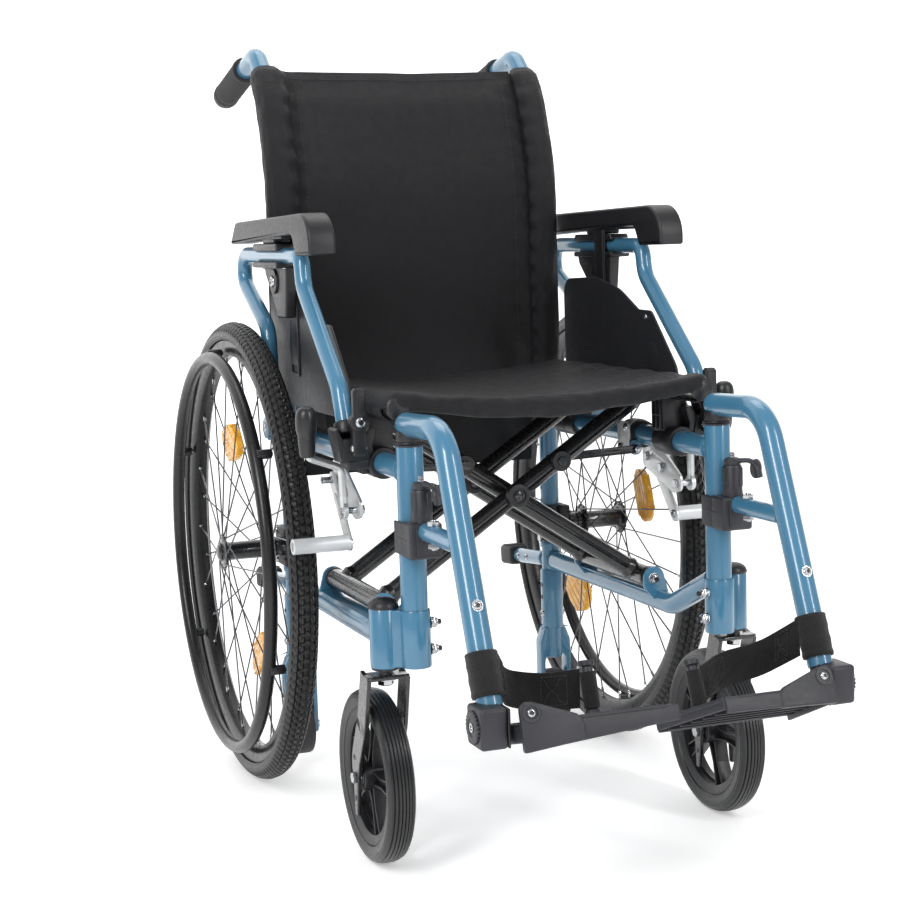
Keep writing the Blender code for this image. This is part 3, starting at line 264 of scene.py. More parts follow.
class Make:
    """One visible piece: shapes are added to it, each in the material in use."""

    def __init__(self, name):
        self.name, self.bm, self.mats, self.cur = name, bmesh.new(), [], 0

    def use(self, m):
        if m not in self.mats:
            self.mats.append(m)
        self.cur = self.mats.index(m)
        return self

    def add(self, verts, faces):
        vs = [self.bm.verts.new(v) for v in verts]
        for f in faces:
            q = self.bm.faces.new([vs[i] for i in f])
            q.material_index = self.cur
            q.smooth = True

    def take(self, bm, m=None):
        if m is not None:
            bmesh.ops.transform(bm, matrix=m, verts=bm.verts)
        bm.verts.index_update()
        self.add([v.co.copy() for v in bm.verts], [[v.index for v in f.verts] for f in bm.faces])
        bm.free()

    def lathe(self, prof, p0, d=(0, 0, 1), n=48, closed=False, m=None):
        p0, q = Vector(p0), Vector(d).normalized().to_track_quat("Z", "Y").to_matrix()
        verts, rows = [], []
        for r, h in prof:
            if r < 1e-7:
                rows.append([len(verts)])
                verts.append(p0 + q @ Vector((0, 0, h)))
            else:
                rows.append(list(range(len(verts), len(verts) + n)))
                verts += [p0 + q @ Vector((r * math.cos(2 * math.pi * k / n), r * math.sin(2 * math.pi * k / n), h)) for k in range(n)]
        faces = []
        for a, b in list(zip(rows, rows[1:])) + ([(rows[-1], rows[0])] if closed else []):
            if len(a) == 1 and len(b) == 1:
                continue
            for k in range(n):
                j = (k + 1) % n
                if len(a) == 1:
                    faces.append((a[0], b[j], b[k]))
                elif len(b) == 1:
                    faces.append((a[k], a[j], b[0]))
                else:
                    faces.append((a[k], a[j], b[j], b[k]))
        if not closed:
            for row in (rows[0], rows[-1]):
                if len(row) > 1:
                    faces.append(row)
        if m is not None:
            verts = [m @ v for v in verts]
        self.add(verts, faces)

    def cyl(self, p0, p1, r, n=32, b=0.0008, m=None):
        p0, p1 = Vector(p0), Vector(p1)
        h = (p1 - p0).length
        b = min(b, h * 0.4, r * 0.5)
        self.lathe([(0, 0), (r - b, 0), (r - 0.3 * b, 0.3 * b), (r, b), (r, h - b), (r - 0.3 * b, h - 0.3 * b), (r - b, h), (0, h)], p0, p1 - p0, n, m=m)

    def sweep(self, pts, sec, up=(1, 0, 0), ring=False, cap=True, scale=None):
        pts, up = [Vector(p) for p in pts], Vector(up)
        n, m = len(pts), len(sec)
        verts = []
        for k, p in enumerate(pts):
            a = pts[(k - 1) % n] if ring else pts[max(k - 1, 0)]
            b = pts[(k + 1) % n] if ring else pts[min(k + 1, n - 1)]
            t = (b - a).normalized()
            sd = t.cross(up).normalized()
            u2 = sd.cross(t).normalized()
            f = scale(k / (n - 1)) if scale else 1.0
            verts += [p + sd * (x * f) + u2 * (y * f) for x, y in sec]
        faces = [(k * m + i, k * m + (i + 1) % m, ((k + 1) % n) * m + (i + 1) % m, ((k + 1) % n) * m + i)
                 for k in range(n if ring else n - 1) for i in range(m)]
        if cap and not ring:
            faces += [tuple(range(m)), tuple(range((n - 1) * m, n * m))]
        self.add(verts, faces)

    def tube(self, pts, r, n=28, up=(1, 0, 0), ring=False, lip=0.0):
        pts = [Vector(p) for p in pts]
        if lip:
            d0, d1 = (pts[1] - pts[0]).normalized(), (pts[-2] - pts[-1]).normalized()
            pts = [pts[0], pts[0] + d0 * lip] + pts[1:-1] + [pts[-1] + d1 * lip, pts[-1]]
        circle = [(r * math.cos(2 * math.pi * k / n), r * math.sin(2 * math.pi * k / n)) for k in range(n)]
        last = len(pts) - 1
        shrink = (lambda t: 1 - (lip / r if round(t * last) in (0, last) else 0)) if lip else None
        self.sweep(pts, circle, up, ring, True, shrink)

    def box(self, lo, hi, b=0.0012, m=None, seg=3):
        lo, hi = Vector(lo), Vector(hi)
        lo, hi = Vector(map(min, lo, hi)), Vector(map(max, lo, hi))
        bm = bmesh.new()
        bmesh.ops.create_cube(bm, size=1.0, matrix=Matrix.Translation((lo + hi) / 2) @ Matrix.Diagonal((*(hi - lo), 1)))
        if b:
            bmesh.ops.bevel(bm, geom=list(bm.edges), offset=min(b, min(hi - lo) * 0.45), segments=seg, profile=0.5, affect="EDGES")
        self.take(bm, m)

    def slab(self, outline, plane, lo, hi, b=0.0008, holes=(), m=None, res=2):
        lo, hi = min(lo, hi), max(lo, hi)
        half = (hi - lo) / 2
        b = min(b, half * 0.9)
        cu = bpy.data.curves.new("outline", "CURVE")
        cu.dimensions, cu.fill_mode = "2D", "BOTH"
        cu.extrude, cu.bevel_depth, cu.bevel_resolution, cu.offset = half - b, b, res, -b
        for pts in (outline, *holes):
            sp = cu.splines.new("POLY")
            sp.points.add(len(pts) - 1)
            for k, p in enumerate(pts):
                sp.points[k].co = (p[0], p[1], 0, 1)
            sp.use_cyclic_u = True
        o = bpy.data.objects.new("outline", cu)
        scene.collection.objects.link(o)
        bpy.context.view_layer.update()
        me = bpy.data.meshes.new_from_object(o.evaluated_get(bpy.context.evaluated_depsgraph_get()))
        bpy.data.objects.remove(o, do_unlink=True)
        bpy.data.curves.remove(cu)
        p = PLANES[plane]
        mid = (lo + hi) / 2
        me.transform(Matrix.Translation(p @ Vector((0, 0, -mid if plane == "XZ" else mid))) @ p.to_4x4())
        bm = bmesh.new()
        bm.from_mesh(me)
        bpy.data.meshes.remove(me)
        bmesh.ops.remove_doubles(bm, verts=bm.verts, dist=1e-6)
        self.take(bm, m)

    def nut(self, p, d, r=0.0065, h=0.005, m=None):
        self.lathe([(0, 0), (r * 0.9, 0), (r, h * 0.15), (r, h * 0.85), (r * 0.88, h), (0, h)], p, d, 6, m=m)

    def screw(self, p, d, r=0.0055, h=0.003, m=None):
        """A button-head socket screw."""
        self.lathe([(0, 0), (r, 0), (r * 0.98, h * 0.35), (r * 0.8, h * 0.8), (r * 0.55, h), (r * 0.48, h), (r * 0.42, h * 0.35), (0, h * 0.3)],
                   p, d, 24, m=m)
        kept = self.cur
        # painted shade: a black hexagon sits in the round recess in place of the shade inside the hex socket
        self.use(GLOSS)
        self.lathe([(0, h * 0.40), (r * 0.40, h * 0.42), (r * 0.44, h * 0.46), (0, h * 0.50)], p, d, 6, m=m)
        self.cur = kept

    def stud(self, p, d, cap=True, m=None):
        """A silver lock nut on a short thread with a black tip."""
        p, d = Vector(p), Vector(d).normalized()
        self.use(STEEL)
        self.lathe([(0, 0), (0.0068, 0), (0.0068, 0.0012), (0, 0.0012)], p, d, 24, m=m)
        self.nut(p + d * 0.0012, d, 0.0062, 0.0055, m=m)
        self.lathe([(0.0045, 0), (0.0045, 0.0016), (0.0034, 0.0024), (0, 0.0024)], p + d * 0.0067, d, 20, m=m)
        if cap:
            self.use(BLACKPLASTIC)
            self.lathe([(0.0030, 0), (0.0030, 0.0030), (0.0022, 0.0042), (0, 0.0045)], p + d * 0.0088, d, 16, m=m)

    def done(self, body, slot, *nodes, sharp=38):
        bmesh.ops.recalc_face_normals(self.bm, faces=self.bm.faces)
        me = bpy.data.meshes.new(self.name)
        self.bm.to_mesh(me)
        self.bm.free()
        me.transform(Matrix.Translation((0, YS, 0)))
        for m in self.mats:
            me.materials.append(m)
        me.set_sharp_from_angle(angle=math.radians(sharp))
        o = bpy.data.objects.new(self.name, me)
        scene.collection.objects.link(o)
        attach(o, body)
        if nodes:
            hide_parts(*nodes)
        return o


def solid(o, modifiers):
    """The object's mesh with these modifiers applied."""
    for kind, values in modifiers:
        md = o.modifiers.new(kind, kind)
        for k, v in values.items():
            setattr(md, k, v)
    bpy.context.view_layer.update()
    me = bpy.data.meshes.new_from_object(o.evaluated_get(bpy.context.evaluated_depsgraph_get()))
    o.modifiers.clear()
    o.data = me
    for p in me.polygons:
        p.use_smooth = True
    return o


def smooth01(t):
    t = max(0.0, min(1.0, t))
    return t * t * (3 - 2 * t)


# ---------------------------------------------------------------- camera, light, floor
def camera():
    az, el, roll = -0.3530, 0.1109, -0.0309
    back = Vector((math.sin(az) * math.cos(el), -math.cos(az) * math.cos(el), math.sin(el)))
    fwd = -back
    right = fwd.cross(Vector((0, 0, 1))).normalized()
    up = right.cross(fwd)
    c, s = math.cos(roll), math.sin(roll)
    r2, u2 = c * right + s * up, -s * right + c * up
    cam = bpy.data.objects.new("camera", bpy.data.cameras.new("camera"))
    cam.data.lens, cam.data.sensor_width = 72.98, 36.0
    cam.data.clip_start, cam.data.clip_end = 0.05, 60
    m = Matrix((r2, u2, back)).transposed().to_4x4()
    m.translation = Vector((-0.8345, -2.1133 + YS, 0.6991))
    cam.matrix_world = m
    scene.collection.objects.link(cam)
    scene.camera = cam


def area(name, pos, target, size, power, color=(1, 1, 1)):
    la = bpy.data.lights.new(name, "AREA")
    la.shape, la.size, la.size_y, la.energy, la.color = "RECTANGLE", size[0], size[1], power, color
    o = bpy.data.objects.new(name, la)
    o.location = pos
    o.rotation_mode = "QUATERNION"
    o.rotation_quaternion = (Vector(target) - Vector(pos)).to_track_quat("-Z", "Y")
    scene.collection.objects.link(o)


camera()
world = bpy.data.worlds.new("studio")
scene.world = world
world.use_nodes = True
world.node_tree.nodes["Background"].inputs["Color"].default_value = (1.0, 1.0, 1.0, 1)
world.node_tree.nodes["Background"].inputs["Strength"].default_value = 0.52
scene.view_settings.view_transform = "Standard"
area("key", (-2.2, -1.8, 2.2), (0, 0, 0.45), (0.7, 1.8), 58)
area("strip", (1.3, -2.6, 1.9), (0.1, 0, 0.4), (0.30, 1.9), 34)
area("top", (0.2, 0.6, 2.8), (0, 0, 0.3), (1.6, 1.2), 15)


def glowing(name, strength, base):
    m = bpy.data.materials.new(name)
    m.use_nodes = True
    b = m.node_tree.nodes["Principled BSDF"]
    b.inputs["Base Color"].default_value = (base, base, base, 1)
    b.inputs["Roughness"].default_value = 0.9
    b.inputs["Specular IOR Level"].default_value = 0.1
    b.inputs["Emission Color"].default_value = (1, 1, 1, 1)
    b.inputs["Emission Strength"].default_value = strength
    return m


def staged(name, mat, size, at, turn):
    bm = bmesh.new()
    bmesh.ops.create_grid(bm, x_segments=2, y_segments=2, size=size)
    me = bpy.data.meshes.new(name)
    bm.to_mesh(me)
    bm.free()
    me.materials.append(mat)
    o = bpy.data.objects.new(name, me)
    o.location, o.rotation_euler = at, turn
    scene.collection.objects.link(o)


staged("floor", glowing("studio_floor", 0.36, 0.88), 9, (0, 0, -0.0006), (0, 0, 0))
staged("wall", glowing("studio_wall", 1.0, 0.6), 9, (0, 4.2, 3.0), (math.radians(90), 0, 0))


# ---------------------------------------------------------------- shared paths
def back_path(s):
    pts = [(s * HALF, BACK_Y, 0.122), (s * HALF, BACK_Y, 0.795), (s * HALF, 0.301, 0.918), (s * HALF, 0.352, 0.9665), (s * HALF, 0.534, 0.9285)]
    return rounded(pts, [0.30, 0.12, 0.030], math.radians(5))


def armrest_path(s):
    x = s * ARMREST_X
    py, pz = ARMREST_PIVOT
    return rounded([(x, -0.1300, 0.4900), (x, -0.1080, 0.5420), (x, 0.0230, 0.6560), (x, 0.0300, 0.6930),
                    (x, 0.3870, 0.6985), (x, 0.1990, 0.6000), (x, py, pz - 0.016)],
                   [0.05, 0.035, 0.016, 0.0235, 0.035], math.radians(6))


def hanger_path(s):
    x = s * HALF
    return rounded([(x, POST_Y, 0.5070), (x, -0.3450, 0.5110), (x, -0.4560, 0.2420)], [0.055], math.radians(4))


def weld(p, d, r, q=None, w=0.003):
    """A small weld collar round a tube of radius r."""
    p, d = Vector(p), Vector(d).normalized()
    q.lathe([(r - 0.001, -w), (r + 0.0006, -w), (r + 0.0018, -w * 0.2), (r + 0.0024, w * 0.6), (r - 0.001, w)], p, d, 36)


# ---------------------------------------------------------------- side frames
def side_frame(s, t, body):
    q = Make("frame_side" + t)
    x = s * HALF
    q.use(BLUE)
    q.lathe([(0.0, 0.2470), (0.0118, 0.2470), (0.0136, 0.2474), (POST_R, 0.2488), (POST_R, 0.4835), (0.0146, 0.4846), (0.0112, 0.4848), (0.0112, 0.4700), (0.0, 0.4700)],
            (x, POST_Y, 0), (0, 0, 1), 56)
    q.tube([(x, POST_Y, RAIL_Z), (x, BACK_Y - BACK_R - 0.0004, RAIL_Z)], RAIL_R, 44)
    weld((x, POST_Y + 0.0160, RAIL_Z), (0, -1, 0), RAIL_R, q)
    weld((x, BACK_Y - BACK_R - 0.004, RAIL_Z), (0, 1, 0), RAIL_R, q, 0.002)
    yl = -0.0515 if s > 0 else -0.0630
    lug = soft([(s * 0.1850, 0.4500), (s * 0.1685, 0.4500), (s * 0.1685, 0.4310), (s * 0.1835, 0.4310)], [0.002, 0.004, 0.007, 0.007])
    q.slab(lug, "XZ", yl + 0.0030, yl + 0.0070, 0.0008)
    q.use(STEEL)
    q.cyl((s * PIV_X, yl + 0.0050, PIV_Z + LINK_H), (s * PIV_X, yl - 0.0040, PIV_Z + LINK_H), 0.0033, 20, 0.0004)
    q.nut((s * PIV_X, yl - 0.0028, PIV_Z + LINK_H), (0, -1, 0), 0.0052, 0.0028)
    # black collar under the footrest hanger
    q.use(BLACKPLASTIC)
    q.lathe([(0.0115, 0.4838), (0.0158, 0.4838), (0.0163, 0.4846), (0.0163, 0.4858), (0.0155, 0.4864), (0.0115, 0.4864)], (x, POST_Y, 0), (0, 0, 1), 48, True)
    # front armrest cup: collar round the rail and a forked seat
    fork = [(0.1980, 0.4590), (0.2030, 0.4770), (0.1975, 0.4960), (0.2055, 0.4985), (0.2120, 0.4860), (0.2380, 0.4860), (0.2435, 0.4985),
            (0.2475, 0.4960), (0.2440, 0.4770), (0.2400, 0.4590)]
    q.slab([(s * a, b) for a, b in fork], "XZ", -0.1440, -0.1150, 0.0009)
    q.slab([(s * a, b) for a, b in ((0.2060, 0.4610), (0.2120, 0.4850), (0.2370, 0.4850), (0.2400, 0.4610))], "XZ", -0.1462, -0.1430, 0.0009)
    q.box((s * 0.1945, -0.1450, 0.4500), (s * 0.2335, -0.1130, 0.4620), 0.0030)
    q.lathe([(RAIL_R + 0.0004, -0.1470), (0.0175, -0.1470), (0.0186, -0.1455), (0.0186, -0.1125), (0.0175, -0.1110), (RAIL_R + 0.0004, -0.1110)],
            (x, 0, RAIL_Z), (0, 1, 0), 44, True)
    for y in (-0.138, -0.129, -0.120):
        q.box((s * 0.1990, y - 0.0012, 0.4440), (s * 0.2150, y + 0.0012, 0.4640), 0.0008)
    # rear armrest socket
    q.box((s * 0.1945, 0.1720, 0.4470), (s * 0.2158, 0.2040, 0.4890), 0.0035)
    q.lathe([(RAIL_R + 0.0004, 0.1690), (0.0172, 0.1690), (0.0184, 0.1705), (0.0184, 0.2055), (0.0172, 0.2070), (RAIL_R + 0.0004, 0.2070)],
            (x, 0, RAIL_Z), (0, 1, 0), 44, True)
    q.use(STEEL)
    q.cyl((s * 0.2100, *ARMREST_PIVOT), (s * 0.2425, *ARMREST_PIVOT), 0.0050, 28, 0.0010)
    q.screw((s * 0.2418, *ARMREST_PIVOT), (s, 0, 0), 0.0056, 0.0018)
    # seat rail cradles, ribbed
    q.use(BLACKPLASTIC)
    for y0 in (-0.128, 0.142):
        arc = [(x + 0.0142 * math.cos(a), SEAT_Z + 0.0142 * math.sin(a)) for a in (math.radians(205 + 130 * k / 14) for k in range(15))]
        out = [(x - 0.0150, 0.5162), *arc, (x + 0.0150, 0.5162), (x + 0.0166, 0.4990), (x + 0.0140, 0.4640), (x - 0.0140, 0.4640), (x - 0.0166, 0.4990)]
        q.slab(out, "XZ", y0, y0 + 0.0280, 0.0010)
        q.lathe([(RAIL_R + 0.0004, y0 - 0.001), (0.0168, y0 - 0.001), (0.0178, y0), (0.0178, y0 + 0.028), (0.0168, y0 + 0.029), (RAIL_R + 0.0004, y0 + 0.029)],
                (x, 0, RAIL_Z), (0, 1, 0), 44, True)
        for k in range(3):
            y = y0 + 0.004 + 0.010 * k
            q.box((x - s * 0.0186, y - 0.0011, 0.4700), (x - s * 0.0130, y + 0.0011, 0.5060), 0.0007)
        q.box((x - s * 0.0182, y0 + 0.002, 0.4860), (x - s * 0.0130, y0 + 0.026, 0.4885), 0.0007)
    q.use(STEEL)
    q.screw((x, -0.114, 0.4430 - 0.0045), (0, 0, -1), 0.0045, 0.0022)
    q.screw((s * 0.2050, 0.188, 0.4470), (0, 0, -1), 0.0045, 0.0024)
    return q.done(body, "paint", "side_frame" + t)


def lower_rail(s, t, body):
    q = Make("frame_lower_rail" + t)
    x = s * HALF
    q.use(BLUE)
    path = rounded([(x, POST_Y + 0.0130, 0.2980), (x, -0.118, LOW_Z), (x, BACK_Y - BACK_R - 0.0004, LOW_Z)], [0.06], math.radians(3))
    q.tube(path, RAIL_R, 44)
    weld((x, BACK_Y - BACK_R - 0.004, LOW_Z), (0, 1, 0), RAIL_R, q, 0.002)
    for y0, y1, py, d in ((-0.0900, -0.0858, -0.0740, -1), (0.1183, 0.1225, 0.1065, 1)):
        lug = soft([(s * 0.2000, 0.2520), (s * 0.1885, 0.2945), (s * 0.1635, 0.2945), (s * 0.1635, 0.2690), (s * 0.1780, 0.2520)],
                   [0.004, 0.0135, 0.0135, 0.006, 0.002])
        q.use(BLUE).slab(lug, "XZ", y0, y1, 0.0010)
        q.use(STEEL)
        q.cyl((s * PIV_X, (y0 + y1) / 2, PIV_Z), (s * PIV_X, py, PIV_Z), 0.0050, 24, 0.0006)
        q.stud((s * PIV_X, y0 if d < 0 else y1, PIV_Z), (0, d, 0))
    # long saddle that the pivot tube lies in
    q.use(BLUE)
    q.slab([(s * 0.2005, 0.2560), (s * 0.1960, 0.2640), (s * 0.1830, 0.2660), (s * 0.1700, 0.2640), (s * 0.1720, 0.2615), (s * 0.1850, 0.2600), (s * 0.1900, 0.2540)],
           "XZ", -0.0840, 0.1180, 0.0007)
    return q.done(body, "paint", "lower_rail" + t)


def back_post(s, t, body):
    q = Make("frame_back_post" + t)
    x = s * HALF
    q.use(BLUE)
    q.tube(back_path(s), BACK_R, 44)
    q.lathe([(0.0128, 0.1520), (0.0150, 0.1520), (0.0156, 0.1532), (0.0156, 0.2348), (0.0150, 0.2360), (0.0128, 0.2360)], (x, BACK_Y, 0), (0, 0, 1), 48, True)
    q.lathe([(0.0128, 0.268), (0.0148, 0.2685), (0.0152, 0.2700), (0.0152, 0.2740), (0.0148, 0.2755), (0.0128, 0.276)], (x, BACK_Y, 0), (0, 0, 1), 44, True)
    q.tube([(x, BACK_Y, LOW_Z), (x, 0.300, LOW_Z - 0.004), (x, 0.4080, LOW_Z - 0.014)], 0.0105, 36)
    weld((x, BACK_Y + 0.0155, LOW_Z - 0.001), (0, 1, -0.09), 0.0105, q, 0.0024)
    # forged fork for the small transit roller
    for k in (-1, 1):
        arm = soft([(x + k * 0.0060, 0.1560), (x + k * 0.0150, 0.1530), (x + k * 0.0228, 0.1330), (x + k * 0.0228, 0.0430), (x + k * 0.0165, 0.0430),
                    (x + k * 0.0165, 0.1090), (x + k * 0.0040, 0.1180)], [0.004, 0.010, 0.014, 0.003, 0.003, 0.014, 0.004])
        q.slab(arm, "XZ", BACK_Y - 0.0095, BACK_Y + 0.0095, 0.0009)
    q.cyl((x, BACK_Y, 0.1080), (x, BACK_Y, 0.1530), 0.0128, 40, 0.003)
    q.use(STEEL)
    for k in (-1, 1):
        q.nut((x + k * 0.0228, ROLL_Y, ROLL_Z), (k, 0, 0), 0.0062, 0.0034)
        q.screw((x + k * 0.0150, BACK_Y, 0.1720), (k, 0, 0), 0.0050, 0.0030)
        q.screw((x + k * 0.0100, 0.330, LOW_Z - 0.0065), (k, 0, 0), 0.0044, 0.0022)
        q.screw((x + k * 0.0100, 0.362, LOW_Z - 0.0095), (k, 0, 0), 0.0044, 0.0022)
    q.cyl((x - 0.0235, ROLL_Y, ROLL_Z), (x + 0.0235, ROLL_Y, ROLL_Z), 0.0035, 24)
    q.use(BLACKPLASTIC)
    for z in (0.196, 0.214):
        for k in (-1, 1):
            q.lathe([(0, 0), (0.0032, 0), (0.0030, 0.0006), (0, 0.0006)], (x + k * 0.0154, BACK_Y, z), (k, 0, 0), 16)
    for z in (0.300, 0.318, 0.336, 0.354, 0.372):
        q.lathe([(0, 0), (0.0030, 0), (0.0028, 0.0005), (0, 0.0005)], (x - s * 0.0128, BACK_Y, z), (-s, 0, 0), 16)
    return q.done(body, "paint", "back_post" + t)


def push_grip(s, t, body):
    q = Make("push_grip_rubber" + t)
    path = back_path(s)
    end = path[-1]
    d = (end - path[-2]).normalized()
    start = end - d * 0.122
    q.use(RUBBER)
    prof = [(0.0138, 0.0), (0.0172, 0.0), (0.0186, 0.0016), (0.0188, 0.0052), (0.0176, 0.0072)]
    h = 0.0100
    while h < 0.106:
        prof += [(0.0172, h), (0.0172, h + 0.0012), (0.0181, h + 0.0020), (0.0181, h + 0.0046), (0.0172, h + 0.0054)]
        h += 0.0064
    prof += [(0.0172, 0.1120), (0.0184, 0.1135), (0.0186, 0.1200), (0.0176, 0.1290), (0.0150, 0.1365), (0.0100, 0.1400), (0.0040, 0.1412), (0, 0.1413)]
    q.lathe(prof, start, d, 56)
    return q.done(body, "rubber", "push_grip" + t)


def step_cap(s, t, body):
    q = Make("step_cap_rubber" + t)
    d = Vector((0, 0.108, -0.010)).normalized()
    p = Vector((s * HALF, 0.4080, LOW_Z - 0.014)) - d * 0.030
    q.use(RUBBER)
    m = Matrix.Translation(p) @ d.to_track_quat("Y", "Z").to_matrix().to_4x4()
    q.box((-0.0150, 0.0, -0.0140), (0.0150, 0.0440, 0.0140), 0.0055, m, 4)
    for k in range(4):
        q.box((-0.0125, 0.008 + 0.008 * k, 0.0132), (0.0125, 0.0115 + 0.008 * k, 0.0152), 0.0008, m)
    return q.done(body, "rubber", "step_cap" + t)


def caster_housing(s, t, body):
    q = Make("caster_housing_blue" + t)
    c = (s * STEM_X, STEM_Y)
    q.use(BLUE)
    q.lathe([(0.0085, 0.2360), (0.0152, 0.2360), (0.0165, 0.2372), (0.0165, 0.3030), (0.0158, 0.3040), (0.0085, 0.3040)], (*c, 0), (0, 0, 1), 52, True)
    lo, hi = Vector((s * HALF, POST_Y, 0)), Vector((*c, 0))
    along = (hi - lo).normalized()
    m = Matrix.Translation(lo) @ Matrix.Rotation(math.atan2(-along.x, along.y), 4, "Z")
    length = (hi - lo).length
    for k, (w, a, b) in enumerate(((0.0088, 0.0146, 0.0200), (0.0076, 0.0192, 0.0245), (0.0094, 0.0100, 0.0150))):
        q.box((-w, a, 0.2380), (w, min(b, length), 0.3020), 0.0012, m)
    q.box((-0.0060, 0.008, 0.2384), (0.0060, length - 0.012, 0.3016), 0.0010, m)
    # shell of the bracket round the post
    q.lathe([(POST_R + 0.0003, 0.2380), (0.0168, 0.2380), (0.0172, 0.2388), (0.0172, 0.3012), (0.0168, 0.3020), (POST_R + 0.0003, 0.3020)],
            (s * HALF, POST_Y, 0), (0, 0, 1), 48, True)
    for y in (-0.0098, 0.0092):
        q.box((y - 0.0010, 0.006, 0.2382), (y + 0.0010, 0.0240, 0.3018), 0.0008, m)
    for z in (0.2560, 0.2860):
        q.stud((s * (HALF - 0.0170), POST_Y - 0.001, z), (-s, 0, 0))
        q.use(STEEL)
        pass
    q.use(BLACKPLASTIC)
    q.lathe([(0.0, 0.3030), (0.0166, 0.3030), (0.0172, 0.3038), (0.0172, 0.3052), (0.0162, 0.3085), (0.0138, 0.3115), (0.0098, 0.3138), (0.0050, 0.3149), (0.0, 0.3152)],
            (*c, 0), (0, 0, 1), 56)
    q.lathe([(0.0090, 0.2340), (0.0150, 0.2340), (0.0156, 0.2350), (0.0156, 0.2361), (0.0090, 0.2361)], (*c, 0), (0, 0, 1), 48, True)
    return q.done(body, "paint", "caster_housing" + t)


def axle_bracket(s, t, body):
    q = Make("axle_bracket_black" + t)
    x = s * HALF
    q.use(BLACKPLASTIC)
    q.lathe([(BACK_R + 0.0003, 0.2780), (0.0180, 0.2780), (0.0190, 0.2792), (0.0190, 0.3288), (0.0180, 0.3300), (BACK_R + 0.0003, 0.3300)],
            (x, BACK_Y, 0), (0, 0, 1), 48, True)
    q.box((s * 0.1950, 0.2350, 0.2780), (s * 0.2098, 0.2830, 0.3300), 0.0030)
    q.box((s * 0.1700, 0.2420, 0.2800), (s * 0.1860, 0.2560, 0.3280), 0.0030)
    for z in (0.2880, 0.3040, 0.3200):
        q.box((s * 0.2060, 0.2330, z - 0.0012), (s * 0.2110, 0.2850, z + 0.0012), 0.0006)
    q.use(GLOSS)
    q.cyl((s * 0.2080, WY, WZ), (s * 0.2208, WY, WZ), 0.0125, 40, 0.0012)
    q.use(STEEL)
    q.cyl((s * 0.2150, WY, WZ), (s * 0.2965, WY, WZ), 0.0061, 28)
    for z in (0.2840, 0.3240):
        q.screw((s * 0.2098, 0.2740, z), (s, 0, 0), 0.0050, 0.0028)
        q.nut((s * 0.1700, 0.2490, z), (-s, 0, 0), 0.0056, 0.0036)
    q.use(GLOSS)
    q.lathe([(0, 0), (0.0105, 0), (0.0118, 0.0008), (0.0118, 0.0026), (0.0100, 0.0048), (0.0066, 0.0062), (0, 0.0068)], (s * 0.2935, WY, WZ), (s, 0, 0), 44)
    return q.done(body, "plastic", "axle_bracket" + t)


# ---------------------------------------------------------------- brake
def brake_bracket(s, t, body):
    q = Make("brake_bracket_zinc" + t)
    x = s * HALF
    q.use(BLACKPLASTIC)
    q.lathe([(RAIL_R + 0.0003, -0.0440), (0.0162, -0.0440), (0.0172, -0.0430), (0.0172, -0.0070), (0.0162, -0.0060), (RAIL_R + 0.0003, -0.0060)],
            (x, 0, RAIL_Z), (0, 1, 0), 44, True)
    q.use(ZINC)
    ear = soft([(-0.0060, 0.4480), (-0.0060, 0.4120), (-0.0900, 0.3850), (-0.1100, 0.3900), (-0.1100, 0.4080), (-0.0440, 0.4480)],
               [0.004, 0.01, 0.006, 0.008, 0.008, 0.01])
    q.slab(ear, "YZ", s * 0.2060, s * 0.2100, 0.0008, [ring2(-0.060, 0.4140, 0.0050), ring2(-0.030, 0.4300, 0.0035)])
    q.box((s * 0.1960, -0.0420, 0.4400), (s * 0.2090, -0.0080, 0.4440), 0.0010)
    q.lathe([(0.0171, -0.0330), (0.0188, -0.0330), (0.0188, -0.0170), (0.0171, -0.0170)], (x, 0, RAIL_Z), (0, 1, 0), 44, True)
    # inner clamp plate with its two bolts
    q.slab(soft([(-0.0420, 0.4720), (-0.0080, 0.4720), (-0.0080, 0.4330), (-0.0240, 0.4300), (-0.0420, 0.4330)], 0.004), "YZ", s * 0.1700, s * 0.1724, 0.0006)
    q.use(STEEL)
    for y, z in ((-0.0330, 0.4655), (-0.0170, 0.4395)):
        q.screw((s * 0.1700, y, z), (-s, 0, 0), 0.0050, 0.0028)
    for p in (BRAKE_LEVER, BRAKE_SHOE):
        q.cyl((s * 0.2060, *p), (s * 0.2285, *p), 0.0040, 28, 0.0008)
        q.screw((s * 0.2282, *p), (s, 0, 0), 0.0052, 0.0012)
        q.nut((s * 0.2060, *p), (-s, 0, 0), 0.0060, 0.0040)
    q.nut((s * 0.2060, -0.060, 0.4140), (-s, 0, 0), 0.0066, 0.0040)
    return q.done(body, "zinc", "brake_bracket" + t)


